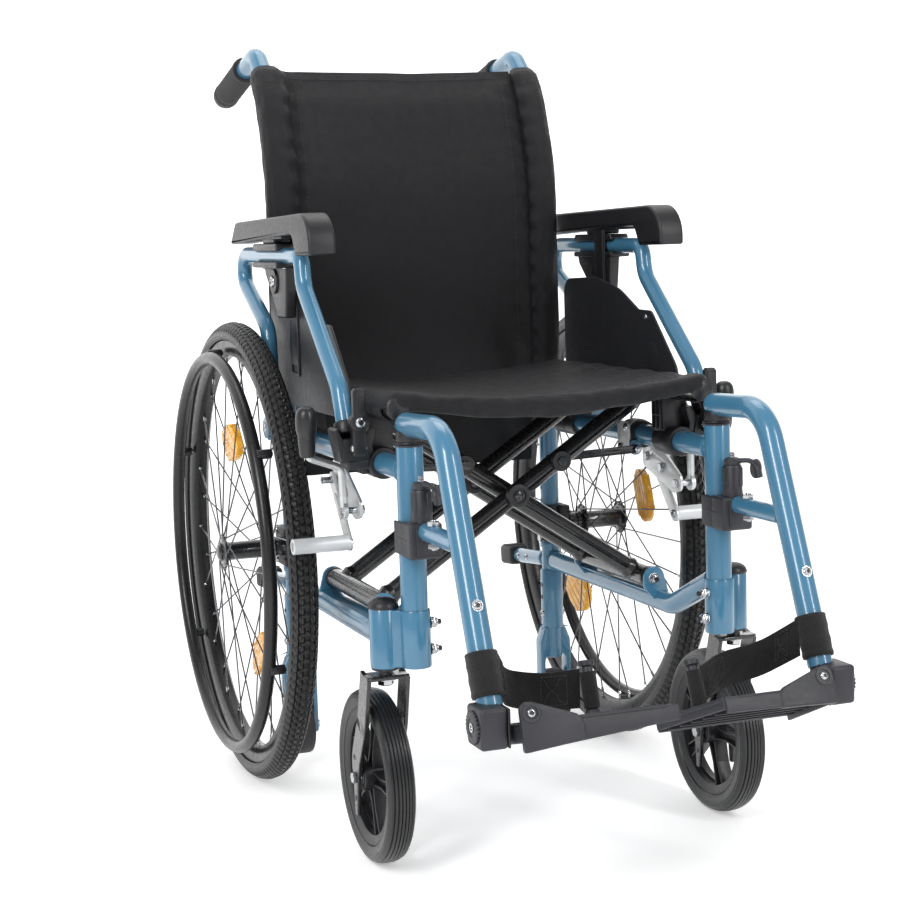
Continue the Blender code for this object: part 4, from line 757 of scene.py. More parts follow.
def brake_lever(s, t, body):
    q = Make("brake_lever_zinc" + t)
    py, pz = BRAKE_LEVER
    q.use(ZINC)
    q.lathe([(0.0043, 0), (0.0090, 0), (0.0096, 0.0006), (0.0096, 0.0049), (0.0090, 0.0055), (0.0043, 0.0055)], (s * 0.2230, py, pz), (s, 0, 0), 36, True)
    path = rounded([(s * 0.2260, py, pz + 0.004), (s * 0.2270, py + 0.002, 0.4480), (s * 0.2700, -0.1080, 0.4640), (s * 0.2700, -0.1080, 0.4900)],
                   [0.012, 0.010], math.radians(8))
    sec = [(0.0046 * math.cos(a), 0.0036 * math.sin(a)) for a in (2 * math.pi * k / 20 for k in range(20))]
    q.sweep(path, sec, (0, 1, 0))
    q.use(CAST_TYRE)
    q.lathe([(0.0, 0.4640), (0.0066, 0.4640), (0.0080, 0.4650), (0.0092, 0.4700), (0.0098, 0.4780), (0.0102, 0.4860), (0.0106, 0.4905),
             (0.0114, 0.4925), (0.0120, 0.4960), (0.0124, 0.5010), (0.0124, 0.5070), (0.0120, 0.5125), (0.0108, 0.5172), (0.0086, 0.5206), (0.0054, 0.5224), (0.0026, 0.5229), (0.0, 0.5230)],
            (s * 0.2700, -0.1080, 0), (0, 0, 1), 48)
    return q.done(body, "zinc", "brake_lever" + t)


def brake_shoe(s, t, body):
    q = Make("brake_shoe_silver" + t)
    py, pz = BRAKE_SHOE
    sy, sz = -0.0780, 0.3570
    d = Vector((sy - py, sz - pz)).normalized()
    n = Vector((-d.y, d.x))
    a, b = Vector((py, pz)), Vector((sy, sz))
    pts = [a - d * 0.010 + n * 0.009, a - d * 0.010 - n * 0.009, b + d * 0.010 - n * 0.009, b + d * 0.010 + n * 0.009]
    q.use(ZINC)
    q.slab(soft([tuple(v) for v in pts], 0.0085), "YZ", s * 0.2125, s * 0.2165, 0.0008, [ring2(py, pz, 0.0046)])
    mid = a.lerp(b, 0.45)
    q.slab(soft([tuple(v) for v in (mid - d * 0.02 + n * 0.004, mid - d * 0.02 - n * 0.004, mid + d * 0.016 - n * 0.004, mid + d * 0.016 + n * 0.004)], 0.0035),
           "YZ", s * 0.2160, s * 0.2180, 0.0006)
    q.use(ALU)
    q.lathe([(0.0056, 0.0), (0.0086, 0.0), (0.0092, 0.0006), (0.0092, 0.0674), (0.0086, 0.0680), (0.0056, 0.0680), (0.0054, 0.0560), (0.0, 0.0560)],
            (s * 0.2158, sy, sz), (s, 0, 0), 48)
    q.use(STEEL)
    q.screw((s * 0.2125, sy, sz), (-s, 0, 0), 0.0055, 0.0024)
    return q.done(body, "zinc", "brake_shoe" + t)


# ---------------------------------------------------------------- wheels
def rear_tyre(s, t, body):
    q = Make("rear_tyre_rubber" + t)
    at = Vector((s * WX, WY, WZ))
    n = 640
    prof = []            # (radius, across, tread 0..1)
    for k in range(41):
        a = math.radians(-118 + 236 * k / 40)
        across = 0.0172 * math.sin(a)
        r = 0.2880 + 0.0162 * math.cos(a) if math.cos(a) > 0 else 0.2880 + 0.0140 * math.cos(a)
        prof.append([r, across, abs(a)])
    verts, faces, mats = [], [], []
    m = len(prof)
    for i in range(n):
        th = 2 * math.pi * i / n
        for j, (r, across, a) in enumerate(prof):
            rr = r
            if a < math.radians(66):
                u = across / 0.0172
                lead = 0.55 * abs(u)
                row = 0 if abs(u) < 0.22 else (1 if abs(u) < 0.60 else 2)
                phase = (i / n * 160 + lead + (0.5 if row == 1 else 0.0)) % 1.0
                low = phase > 0.66
                side = abs(abs(u) - 0.22) < 0.055 or abs(abs(u) - 0.60) < 0.055
                rr = r + (-0.0027 if (low or side) else 0.0)
            elif a < math.radians(80):
                rr = r + (0.0 if (i / n * 160) % 1.0 < 0.55 else -0.0018)
            elif abs(a - math.radians(92)) < math.radians(3) or abs(a - math.radians(108)) < math.radians(2.5):
                rr = r
                across = across * 1.035
            verts.append(at + Vector((across, rr * math.cos(th), rr * math.sin(th))))
    q.use(TYRE)
    q.use(WALL)
    base = [q.bm.verts.new(v) for v in verts]
    for i in range(n):
        k = (i + 1) % n
        for j in range(m - 1):
            f = q.bm.faces.new((base[i * m + j], base[i * m + j + 1], base[k * m + j + 1], base[k * m + j]))
            f.smooth = True
            f.material_index = 0 if max(prof[j][2], prof[j + 1][2]) < math.radians(82) else 1
        f = q.bm.faces.new((base[i * m], base[k * m], base[k * m + m - 1], base[i * m + m - 1]))
        f.material_index = 1
    return q.done(body, "tyre", "rear_tyre" + t, sharp=30)


def rear_rim(s, t, body):
    q = Make("rear_rim_black" + t)
    at = (s * WX, WY, WZ)
    q.use(SATIN)
    q.lathe([(0.2598, -0.0050), (0.2606, -0.0085), (0.2650, -0.0112), (0.2735, -0.0128), (0.2800, -0.0128), (0.2812, -0.0118), (0.2812, -0.0104), (0.2780, -0.0098),
             (0.2720, 0.0), (0.2780, 0.0098), (0.2812, 0.0104), (0.2812, 0.0118), (0.2800, 0.0128), (0.2735, 0.0128), (0.2650, 0.0112), (0.2606, 0.0085), (0.2598, 0.0050),
             (0.2592, 0.0)], at, (1, 0, 0), 180, True)
    return q.done(body, "black_metal", "rear_rim" + t)


def rear_hub(s, t, body):
    q = Make("rear_hub_spokes" + t)
    at = Vector((0, WY, WZ))
    q.use(GLOSS)
    prof = [(0.0068, 0.2215), (0.0120, 0.2215), (0.0128, 0.2222), (0.0128, 0.2296), (0.0205, 0.2302), (0.0216, 0.2310), (0.0216, 0.2328), (0.0208, 0.2340), (0.0150, 0.2352),
            (0.0122, 0.2385), (0.0122, 0.2840), (0.0150, 0.2882), (0.0208, 0.2894), (0.0216, 0.2904), (0.0216, 0.2924), (0.0205, 0.2932), (0.0130, 0.2936), (0.0124, 0.2945), (0.0068, 0.2945)]
    q.lathe([(r, s * h) for r, h in prof], at, (1, 0, 0), 56, True)
    for xf in (0.2319, 0.2914):          # teeth round the flanges
        for k in range(18):
            a = 2 * math.pi * k / 18
            m = Matrix.Translation(at + Vector((s * xf, 0, 0))) @ Matrix.Rotation(a, 4, "X")
            q.box((-0.0014, -0.0022, 0.0200), (0.0014, 0.0022, 0.0232), 0.0006, m, 1)
    for k in range(36):
        inner = k % 2
        lean = 1 if (k // 2) % 2 else -1
        a_rim = 2 * math.pi * k / 36
        a_hub = a_rim + lean * math.radians(62)
        xh = (0.2318 if inner else 0.2912) + lean * 0.0022
        xr = WX + (-0.0025 if inner else 0.0025)
        h = at + Vector((s * xh, 0.0180 * math.cos(a_hub), 0.0180 * math.sin(a_hub)))
        r = at + Vector((s * xr, 0.2585 * math.cos(a_rim), 0.2585 * math.sin(a_rim)))
        d = (r - h).normalized()
        q.use(SPOKE)
        q.cyl(h, r, 0.0010, 8, 0.0002)
        q.use(STEEL)
        q.cyl(r - d * 0.011, r, 0.0019, 8, 0.0004)
    q.use(AMBER)                        # two oval reflectors clipped on the spokes
    for a in (math.radians(75), math.radians(240)) if s < 0 else (math.radians(160), math.radians(306)):
        c = at + Vector((s * (WX + 0.0010), 0.146 * math.cos(a), 0.146 * math.sin(a)))
        m = Matrix.Translation(c) @ Matrix.Rotation(a, 4, "X") @ Matrix.Rotation(math.radians(8), 4, "Z")
        oval = [(0.0250 * math.cos(b), 0.0370 * math.sin(b)) for b in (2 * math.pi * k / 40 for k in range(40))]
        q.slab(oval, "YZ", -0.0052, 0.0052, 0.0022, m=m, res=3)
        for w in (-0.018, -0.009, 0.0, 0.009, 0.018):
            q.box((-0.0058, w - 0.0034, -0.0340 * math.sqrt(1 - (w / 0.026) ** 2)), (0.0058, w + 0.0034, 0.0340 * math.sqrt(1 - (w / 0.026) ** 2)), 0.0010, m, 1)
    return q.done(body, "black_metal", "rear_hub" + t)


def handrim(s, t, body):
    q = Make("handrim_tube" + t)
    at = Vector((s * 0.2955, WY, WZ))
    ring = [at + Vector((0, 0.2575 * math.cos(a), 0.2575 * math.sin(a))) for a in (2 * math.pi * k / 160 for k in range(160))]
    q.use(SATIN).tube(ring, 0.0085, 28, ring=True)
    for k in range(6):
        a = math.radians(25 + 60 * k)
        off = Vector((0, 0.2630 * math.cos(a), 0.2630 * math.sin(a)))
        p = at + off
        q.use(BLACKPLASTIC).cyl(p, p - Vector((s * 0.0190, 0, 0)), 0.0060, 28, 0.0008)
        q.use(STEEL).screw(p - Vector((s * 0.0190, 0, 0)), (-s, 0, 0), 0.0040, 0.0016)
    return q.done(body, "black_metal", "handrim" + t)


def caster_fork(s, t, body):
    q = Make("caster_fork_black" + t)
    c = (s * STEM_X, STEM_Y)
    q.use(GLOSS)
    q.cyl((*c, 0.2200), (*c, 0.2345), 0.0080, 32)
    q.slab(soft([(c[0] - 0.0252, STEM_Y - 0.0145), (c[0] + 0.0252, STEM_Y - 0.0145), (c[0] + 0.0252, STEM_Y + 0.0170), (c[0] - 0.0252, STEM_Y + 0.0170)], 0.006),
           "XY", 0.2236, 0.2282, 0.0016, res=3)
    for k in (-1, 1):
        xo = c[0] + k * 0.0228
        line = rounded([(xo, STEM_Y + 0.0012, 0.2275), (xo + k * 0.0006, -0.1965, 0.1680), (xo, -0.1668, 0.1180), (xo, -0.1660, 0.0560)],
                       [0.07, 0.055], math.radians(5))
        wide = [0.0140, 0.0148, 0.0140, 0.0132, 0.0130]

        def width(i, n):
            f = i / (n - 1) * (len(wide) - 1)
            a = min(int(f), len(wide) - 2)
            return wide[a] + (wide[a + 1] - wide[a]) * (f - a)
        rows, n = [], len(line)
        verts, faces = [], []
        for i, p in enumerate(line):
            a, b = line[max(i - 1, 0)], line[min(i + 1, n - 1)]
            tan = (b - a).normalized()
            nrm = Vector((1, 0, 0)) if abs(tan.x) < 0.8 else Vector((0, 0, 1))
            side = tan.cross(nrm).normalized()
            nrm = side.cross(tan).normalized()
            w = width(i, n)
            if i > n - 5:
                w *= math.sqrt(max(0.06, 1 - ((i - (n - 5)) / 4.0) ** 2)) if i < n - 1 else 0.25
            for u, v in ((-1, -0.0016), (-0.93, -0.0024), (0.93, -0.0024), (1, -0.0016), (1, 0.0016), (0.93, 0.0024), (-0.93, 0.0024), (-1, 0.0016)):
                verts.append(p + side * (u * w) + nrm * v)
        for i in range(n - 1):
            for j in range(8):
                faces.append((i * 8 + j, i * 8 + (j + 1) % 8, (i + 1) * 8 + (j + 1) % 8, (i + 1) * 8 + j))
        faces += [tuple(range(8)), tuple(range((n - 1) * 8, n * 8))]
        q.use(GLOSS).add(verts, faces)
        for z in (0.1240, 0.0760):
            q.use(BLACKPLASTIC).lathe([(0, 0), (0.0036, 0), (0.0032, 0.0003), (0, 0.0003)], (xo + k * 0.0025, CAST_Y, z), (k, 0, 0), 20)
        q.use(STEEL).nut((xo + k * 0.0024, CAST_Y, CAST_R), (k, 0, 0), 0.0068, 0.0040)
    q.use(STEEL)
    q.cyl((c[0] - 0.0285, CAST_Y, CAST_R), (c[0] + 0.0285, CAST_Y, CAST_R), 0.0045, 28)
    q.lathe([(0, 0), (0.0120, 0), (0.0120, 0.0012), (0, 0.0012)], (*c, 0.2236), (0, 0, -1), 32)
    q.nut((*c, 0.2224), (0, 0, -1), 0.0092, 0.0064)
    return q.done(body, "black_metal", "caster_fork" + t)


def caster_wheel(s, t, body):
    at = (s * CAST_X, CAST_Y, CAST_R)
    q = Make("caster_tyre_rubber" + t)
    prof = [(0.0788, -0.0128), (0.0800, -0.0142), (0.0845, -0.0150), (0.0860, -0.0158), (0.0900, -0.0162), (0.0912, -0.0156), (0.0925, -0.0158), (0.0948, -0.0148)]
    for k in range(7):
        c = -0.0120 + 0.0040 * k
        rad = 0.1000 - 0.0034 * (abs(c) / 0.0125) ** 2.4
        prof += [(rad - 0.0012, c - 0.0019), (rad, c - 0.0013), (rad, c + 0.0013), (rad - 0.0012, c + 0.0019)]
    prof += [(r, -h) for r, h in reversed(prof[:8])]
    q.use(CAST_TYRE).lathe(prof, at, (1, 0, 0), 120, True)
    tyre = q.done(body, "tyre", "caster_tyre" + t, sharp=28)
    q = Make("caster_rim_plastic" + t)
    q.use(BLACKPLASTIC)
    q.lathe([(0.0668, -0.0040), (0.0676, -0.0098), (0.0700, -0.0112), (0.0778, -0.0132), (0.0790, -0.0126), (0.0790, 0.0126), (0.0778, 0.0132), (0.0700, 0.0112), (0.0676, 0.0098), (0.0668, 0.0040)],
            at, (1, 0, 0), 100, True)
    q.lathe([(0.0051, -0.0182), (0.0142, -0.0182), (0.0158, -0.0168), (0.0164, -0.0070), (0.0164, 0.0070), (0.0158, 0.0168), (0.0142, 0.0182), (0.0051, 0.0182)], at, (1, 0, 0), 48, True)
    for k in range(5):
        m = Matrix.Translation(at) @ Matrix.Rotation(2 * math.pi * k / 5 + 0.3, 4, "X")
        out = soft([(-0.0085, 0.0120), (0.0085, 0.0120), (0.0058, 0.0400), (0.0100, 0.0695), (-0.0100, 0.0695), (-0.0058, 0.0400)], [0.002, 0.002, 0.03, 0.002, 0.002, 0.03])
        q.slab(out, "YZ", -0.0028, 0.0028, 0.0010, m=m)
        for w in (-1, 1):
            q.slab(soft([(w * 0.0058, 0.0140), (w * 0.0088, 0.0140), (w * 0.0062, 0.0400), (w * 0.0100, 0.0690), (w * 0.0070, 0.0690), (w * 0.0036, 0.0400)], 0.0008),
                   "YZ", -0.0082, 0.0082, 0.0008, m=m)
    q.lathe([(0.0640, -0.0016), (0.0672, -0.0016), (0.0672, 0.0016), (0.0640, 0.0016)], at, (1, 0, 0), 80, True)
    q.use(STEEL)
    for k in (-1, 1):
        q.lathe([(0.0046, 0.0), (0.0100, 0.0), (0.0100, 0.0006), (0.0046, 0.0006)], (at[0] + k * 0.0182, at[1], at[2]), (k, 0, 0), 36, True)
    return tyre, q.done(body, "plastic", "caster_rim" + t)


def transit_wheel(s, t, body):
    q = Make("transit_roller" + t)
    at = (s * HALF, ROLL_Y, ROLL_Z)
    q.use(RUBBER).lathe([(0.0250, -0.0116), (0.0345, -0.0118), (0.0366, -0.0108), (0.0378, -0.0080), (0.0380, -0.0030), (0.0380, 0.0030), (0.0378, 0.0080), (0.0366, 0.0108),
                         (0.0345, 0.0118), (0.0250, 0.0116)], at, (1, 0, 0), 72, True)
    q.use(BLACKPLASTIC).lathe([(0.0042, -0.0118), (0.0090, -0.0118), (0.0104, -0.0090), (0.0230, -0.0070), (0.0252, -0.0108), (0.0252, 0.0108), (0.0230, 0.0070), (0.0104, 0.0090),
                               (0.0090, 0.0118), (0.0042, 0.0118)], at, (1, 0, 0), 60, True)
    return q.done(body, "rubber", "transit_wheel" + t)


# ---------------------------------------------------------------- armrests
def armrest_frame(s, t, body):
    q = Make("armrest_tube" + t)
    q.use(BLUE)
    path = armrest_path(s)
    q.tube(path, 0.0102, 40)
    x = s * ARMREST_X
    q.lathe([(0.0057, -0.0128), (0.0130, -0.0128), (0.0138, -0.0120), (0.0138, 0.0120), (0.0130, 0.0128), (0.0057, 0.0128)], (x, *ARMREST_PIVOT), (1, 0, 0), 40, True)
    q.use(BLACKPLASTIC)
    q.cyl((x, -0.1300, 0.4895), (x, -0.1300 + 0.0060, 0.5035), 0.0132, 36, 0.002)
    # saddle over the tube, and the housing below it that the pad's column slides in
    q.slab(soft([(0.0950, 0.7005), (0.0990, 0.7095), (0.2110, 0.7105), (0.2160, 0.7010)], 0.003), "YZ", x - 0.0135, x + 0.0135, 0.0022, res=3)
    q.slab(soft([(0.0950, 0.6862), (0.0950, 0.6790), (0.2140, 0.6800), (0.2140, 0.6870)], 0.003), "YZ", x - 0.0145, x + 0.0140, 0.0022, res=3)
    q.slab(soft([(0.0980, 0.6860), (0.2060, 0.6860), (0.2000, 0.6700), (0.1640, 0.6380), (0.1480, 0.6160), (0.1100, 0.6160), (0.1030, 0.6500)], [0.002, 0.004, 0.010, 0.012, 0.004, 0.004, 0.012]),
           "YZ", s * 0.2160, s * 0.2300, 0.0022, res=3)
    q.lathe([(0.0, 0.0), (0.0150, 0.0), (0.0160, 0.0012), (0.0152, 0.0032), (0.0, 0.0040)], (s * 0.2298, 0.1530, 0.6620), (s, 0, 0), 44)
    q.lathe([(0.0, 0.0), (0.0062, 0.0), (0.0062, 0.0016), (0.0, 0.0022)], (s * 0.2160, 0.1530, 0.6620), (-s, 0, 0), 30)
    q.use(STEEL)
    q.screw((s * 0.2332, 0.1530, 0.6620), (s, 0, 0), 0.0076, 0.0030)
    for y in (0.104, 0.206):
        q.screw((x, y, 0.6792), (0, 0, -1), 0.0036, 0.0020)
    return q.done(body, "paint", "armrest_frame" + t)


def side_guard(s, t, body):
    q = Make("side_guard_panel" + t)
    out = soft([(0.2420, 0.5020), (0.2420, 0.6500), (0.1350, 0.6530), (0.0630, 0.6380), (0.0080, 0.6120), (-0.0280, 0.6110), (-0.0980, 0.5400), (-0.0980, 0.5020)],
               [0.006, 0.022, 0.06, 0.09, 0.010, 0.012, 0.030, 0.006], math.radians(6))
    q.use(GUARD)
    q.slab(out, "YZ", s * 0.2106, s * 0.2134, 0.0011, res=3)
    q.box((s * 0.2130, 0.1085, 0.5420), (s * 0.2158, 0.1455, 0.5470), 0.0010)
    for y0 in (0.1085, 0.1410):
        q.box((s * 0.2130, y0, 0.5460), (s * 0.2158, y0 + 0.0040, 0.6440), 0.0010)
    # plain round boss, left bare
    q.lathe([(0.0, 0.0), (0.0210, 0.0), (0.0214, 0.0003), (0.0208, 0.0006), (0.0, 0.0006)], (s * 0.2106, -0.028, 0.5500), (-s, 0, 0), 60)
    q.use(STEEL)
    for y, z in ((-0.0140, 0.6020), (-0.0880, 0.5120), (0.2320, 0.5150)):
        q.screw((s * 0.2106, y, z), (-s, 0, 0), 0.0036, 0.0020)
        q.screw((s * 0.2134, y, z), (s, 0, 0), 0.0036, 0.0020)
    return q.done(body, "plastic", "side_guard" + t)


def arm_pad(s, t, body):
    q = Make("arm_pad_skin" + t)
    xc, hw = s * 0.2275, 0.0167
    q.use(PAD)
    side = soft([(-0.0578, 0.6935), (-0.0578, 0.7445), (0.2980, 0.7402), (0.3285, 0.7110), (0.0200, 0.7195), (0.0045, 0.6935)],
                [0.003, 0.040, 0.014, 0.003, 0.016, 0.003], math.radians(5))
    q.slab(side, "YZ", xc - hw, xc + hw, 0.0042, res=5)
    # moulding line along the flanks, saddle and column
    q.use(BLACKPLASTIC)
    q.box((xc - 0.0120, 0.1180, 0.7100), (xc + 0.0120, 0.1720, 0.7200), 0.0020)
    q.box((xc - 0.0140, 0.0740, 0.7150), (xc + 0.0140, 0.2200, 0.7185), 0.0012)
    q.box((s * 0.2136, 0.1120, 0.5560), (s * 0.2156, 0.1420, 0.7200), 0.0007)
    q.box((s * 0.2118, 0.1135, 0.6100), (s * 0.2138, 0.1405, 0.7150), 0.0008)
    for z in (0.585, 0.600, 0.615):
        q.use(GLOSS).lathe([(0, 0), (0.0028, 0), (0.0026, 0.0004), (0, 0.0004)], (s * 0.2136, 0.1270, z), (-s, 0, 0), 16)
    o = q.done(body, "pad", "arm_pad" + t)
    return o


def arm_latch(s, t, body):
    q = Make("armrest_latch_black" + t)
    py, pz = LATCH_PIVOT
    side = soft([(py - 0.0090, 0.4980), (py - 0.0090, 0.5445), (py + 0.0050, 0.5445), (py + 0.0050, 0.4980)], [0.002, 0.0040, 0.0040, 0.002])
    face = [(0.2148, 0.4970), (0.2148, 0.5410), (0.2176, 0.5445), (0.2272, 0.5445), (0.2300, 0.5410), (0.2300, 0.4970)]
    q.use(BLACKPLASTIC).slab([(s * a, b) for a, b in face], "XZ", py - 0.0085, py - 0.0005, 0.0010)
    q.slab([(s * a, b) for a, b in ((0.2172, 0.5150), (0.2172, 0.5400), (0.2276, 0.5400), (0.2276, 0.5150))], "XZ", py - 0.0094, py - 0.0080, 0.0005)
    q.cyl((s * 0.2224, py - 0.0095, 0.5060), (s * 0.2224, py + 0.0060, 0.5060), 0.0112, 40, 0.0020)
    q.slab(soft([(py - 0.0060, pz - 0.0070), (py - 0.0060, 0.5020), (py + 0.0070, 0.5020), (py + 0.0070, pz - 0.0070)], 0.0040), "YZ", s * 0.2150, s * 0.2300, 0.0016)
    q.use(STEEL)
    q.screw((s * 0.2224, py - 0.0094, 0.5060), (0, -1, 0), 0.0062, 0.0028)
    for k in (-1, 1):
        q.screw((s * 0.2224 + k * 0.0074, py, pz + 0.0020), (k, 0, 0), 0.0040, 0.0018)
    return q.done(body, "plastic", "arm_latch" + t)


# ---------------------------------------------------------------- footrests
def hanger(s, t, body):
    q = Make("hanger_tube" + t)
    x = s * HALF
    q.use(BLUE)
    path = hanger_path(s)
    q.tube(path, 0.0135, 48)
    # rounded rear end over the pivot post
    q.lathe([(0.0, -0.0162), (0.0070, -0.0150), (0.0110, -0.0120), (0.0134, -0.0070), (0.0135, 0.0)], (x, POST_Y, 0.5070), (0, -1, 0), 48)
    q.use(BLACKPLASTIC).cyl((x, POST_Y, 0.4880), (x, POST_Y, 0.5000), 0.0146, 44, 0.001)
    q.use(BLUE)
    q.tube([(x, -0.2834, 0.3950), (x, -0.3880, 0.3950)], 0.0100, 36)
    weld((x, -0.3840, 0.3950), (0, -1, 0), 0.0100, q, 0.002)
    q.use(BLACKPLASTIC)
    q.lathe([(0.0, 0.4480), (0.0090, 0.4480), (0.0104, 0.4496), (0.0104, 0.4868), (0.0158, 0.4868), (0.0162, 0.4876), (0.0158, 0.4884), (0.0, 0.4884)], (x, POST_Y, 0), (0, 0, 1), 44)
    d = (path[-1] - path[-2]).normalized()
    nrm = Vector((0, d.z, -d.y))
    if nrm.y > 0:
        nrm = -nrm
    sc = Vector((x, -0.345, 0.511)) + d * 0.190
    q.use(STEEL)
    for k in (1,):
        q.lathe([(0.0, 0.0), (0.0062, 0.0), (0.0062, 0.0008), (0.0, 0.0008)], sc + nrm * 0.0132, nrm, 28)
        q.screw(sc + nrm * 0.0138, nrm, 0.0048, 0.0022)
    for z, dd in ((0.4052, 1), (0.3848, -1)):
        q.nut((x, -0.3060, z - dd * 0.0006), (0, 0, dd), 0.0066, 0.0052)
        q.cyl((x, -0.3060, z), (x, -0.3060, z + dd * 0.0064), 0.0030, 20)
    # toothed foot with the footplate's clamp screw
    q.use(PLASTIC)
    end = path[-1]
    q.cyl(end - d * 0.004, end + d * 0.010, 0.0118, 36, 0.002)
    q.box((s * 0.1835, -0.4886, 0.2064), (s * 0.2126, -0.4484, 0.2480), 0.0040)
    q.use(BLACKPLASTIC)
    q.box((s * 0.1808, -0.4880, 0.2070), (s * 0.1836, -0.4490, 0.2470), 0.0010)
    q.use(PLASTIC)
    q.lathe([(0.0, 0.0), (0.0150, 0.0), (0.0158, 0.0006), (0.0158, 0.0022), (0.0150, 0.0028), (0.0100, 0.0030), (0.0092, 0.0020), (0.0, 0.0020)], (s * 0.2124, -0.4685, 0.2272), (s, 0, 0), 56)
    for k in range(24):
        a = 2 * math.pi * k / 24
        m = Matrix.Translation((s * 0.2134, -0.4685, 0.2272)) @ Matrix.Rotation(a, 4, "X")
        q.box((-0.0014, -0.0012, 0.0150), (0.0014, 0.0012, 0.0172), 0.0004, m, 1)
    q.use(STEEL).lathe([(0.0048, 0.0), (0.0048, 0.0012), (0.0028, 0.0012), (0.0026, 0.0002), (0.0, 0.0002)], (s * 0.2144, -0.4685, 0.2272), (s, 0, 0), 24)
    return q.done(body, "paint", "hanger" + t)


def hanger_clamp(s, t, body):
    q = Make("hanger_clamp_plastic" + t)
    x = s * HALF
    q.use(PLASTIC)
    q.box((x - 0.0190, -0.2830, 0.3650), (x + 0.0190, -0.2505, 0.4040), 0.0035)
    for k in (-1, 1):
        q.box((x + k * 0.0190, -0.2560, 0.3665), (x + k * 0.0158, -0.2290, 0.4025), 0.0015)
        q.box((x + k * 0.0194, -0.2700, 0.3840), (x + k * 0.0180, -0.2400, 0.3858), 0.0005)
    q.box((x - 0.0120, -0.2850, 0.3700), (x + 0.0120, -0.2820, 0.4000), 0.0012)
    q.lathe([(0.0, 0.4000), (0.0122, 0.4000), (0.0126, 0.4012), (0.0114, 0.4120), (0.0110, 0.4380), (0.0100, 0.4400), (0.0, 0.4400)], (x, WING[1], 0), (0, 0, 1), 44)
    for k in range(10):
        m = Matrix.Translation((x, WING[1], 0)) @ Matrix.Rotation(2 * math.pi * k / 10, 4, "Z")
        q.box((0.0100, -0.0011, 0.4150), (0.0119, 0.0011, 0.4370), 0.0006, m, 1)
    return q.done(body, "plastic", "hanger_clamp" + t)


def hanger_lever(s, t, body):
    q = Make("hanger_release_wing" + t)
    x = s * HALF
    q.use(PLASTIC)
    q.lathe([(0.0, 0.4404), (0.0094, 0.4404), (0.0098, 0.4412), (0.0092, 0.4470), (0.0060, 0.4486), (0.0, 0.4486)], (x, WING[1], 0), (0, 0, 1), 36)
    turn = math.radians(20) if s < 0 else math.radians(48)
    m = Matrix.Translation((x, WING[1], 0)) @ Matrix.Rotation(turn, 4, "Z")
    rows = rounded([(0, -0.0040, 0.4448), (0, -0.0200, 0.4455), (0, -0.0290, 0.4400), (0, -0.0315, 0.4260)], [0.012, 0.010], math.radians(12))
    sec = [(0.0030 * math.cos(a), 0.0062 * math.sin(a)) for a in (2 * math.pi * k / 20 for k in range(20))]
    tmp = Make("tmp")
    tmp.cur = q.cur
    tmp.sweep(rows, sec, (1, 0, 0), scale=lambda f: 0.95 + 0.35 * smooth01((f - 0.4) / 0.6))
    q.take(tmp.bm, m)
    paddle = [(-0.0275 + 0.0066 * math.cos(b), 0.4360 + 0.0112 * math.sin(b)) for b in (2 * math.pi * k / 36 for k in range(36))]
    q.slab(paddle, "YZ", -0.0038, 0.0038, 0.0018, m=m, res=3)
    q.use(STEEL)
    q.lathe([(0, 0), (0.0034, 0), (0.0034, 0.0016), (0.0026, 0.0024), (0.0034, 0.0032), (0.0026, 0.0040), (0.0032, 0.0048), (0.0024, 0.0060), (0, 0.0064)],
            (x, WING[1], 0.4484), (0, 0, 1), 24)
    return q.done(body, "plastic", "hanger_lever" + t)


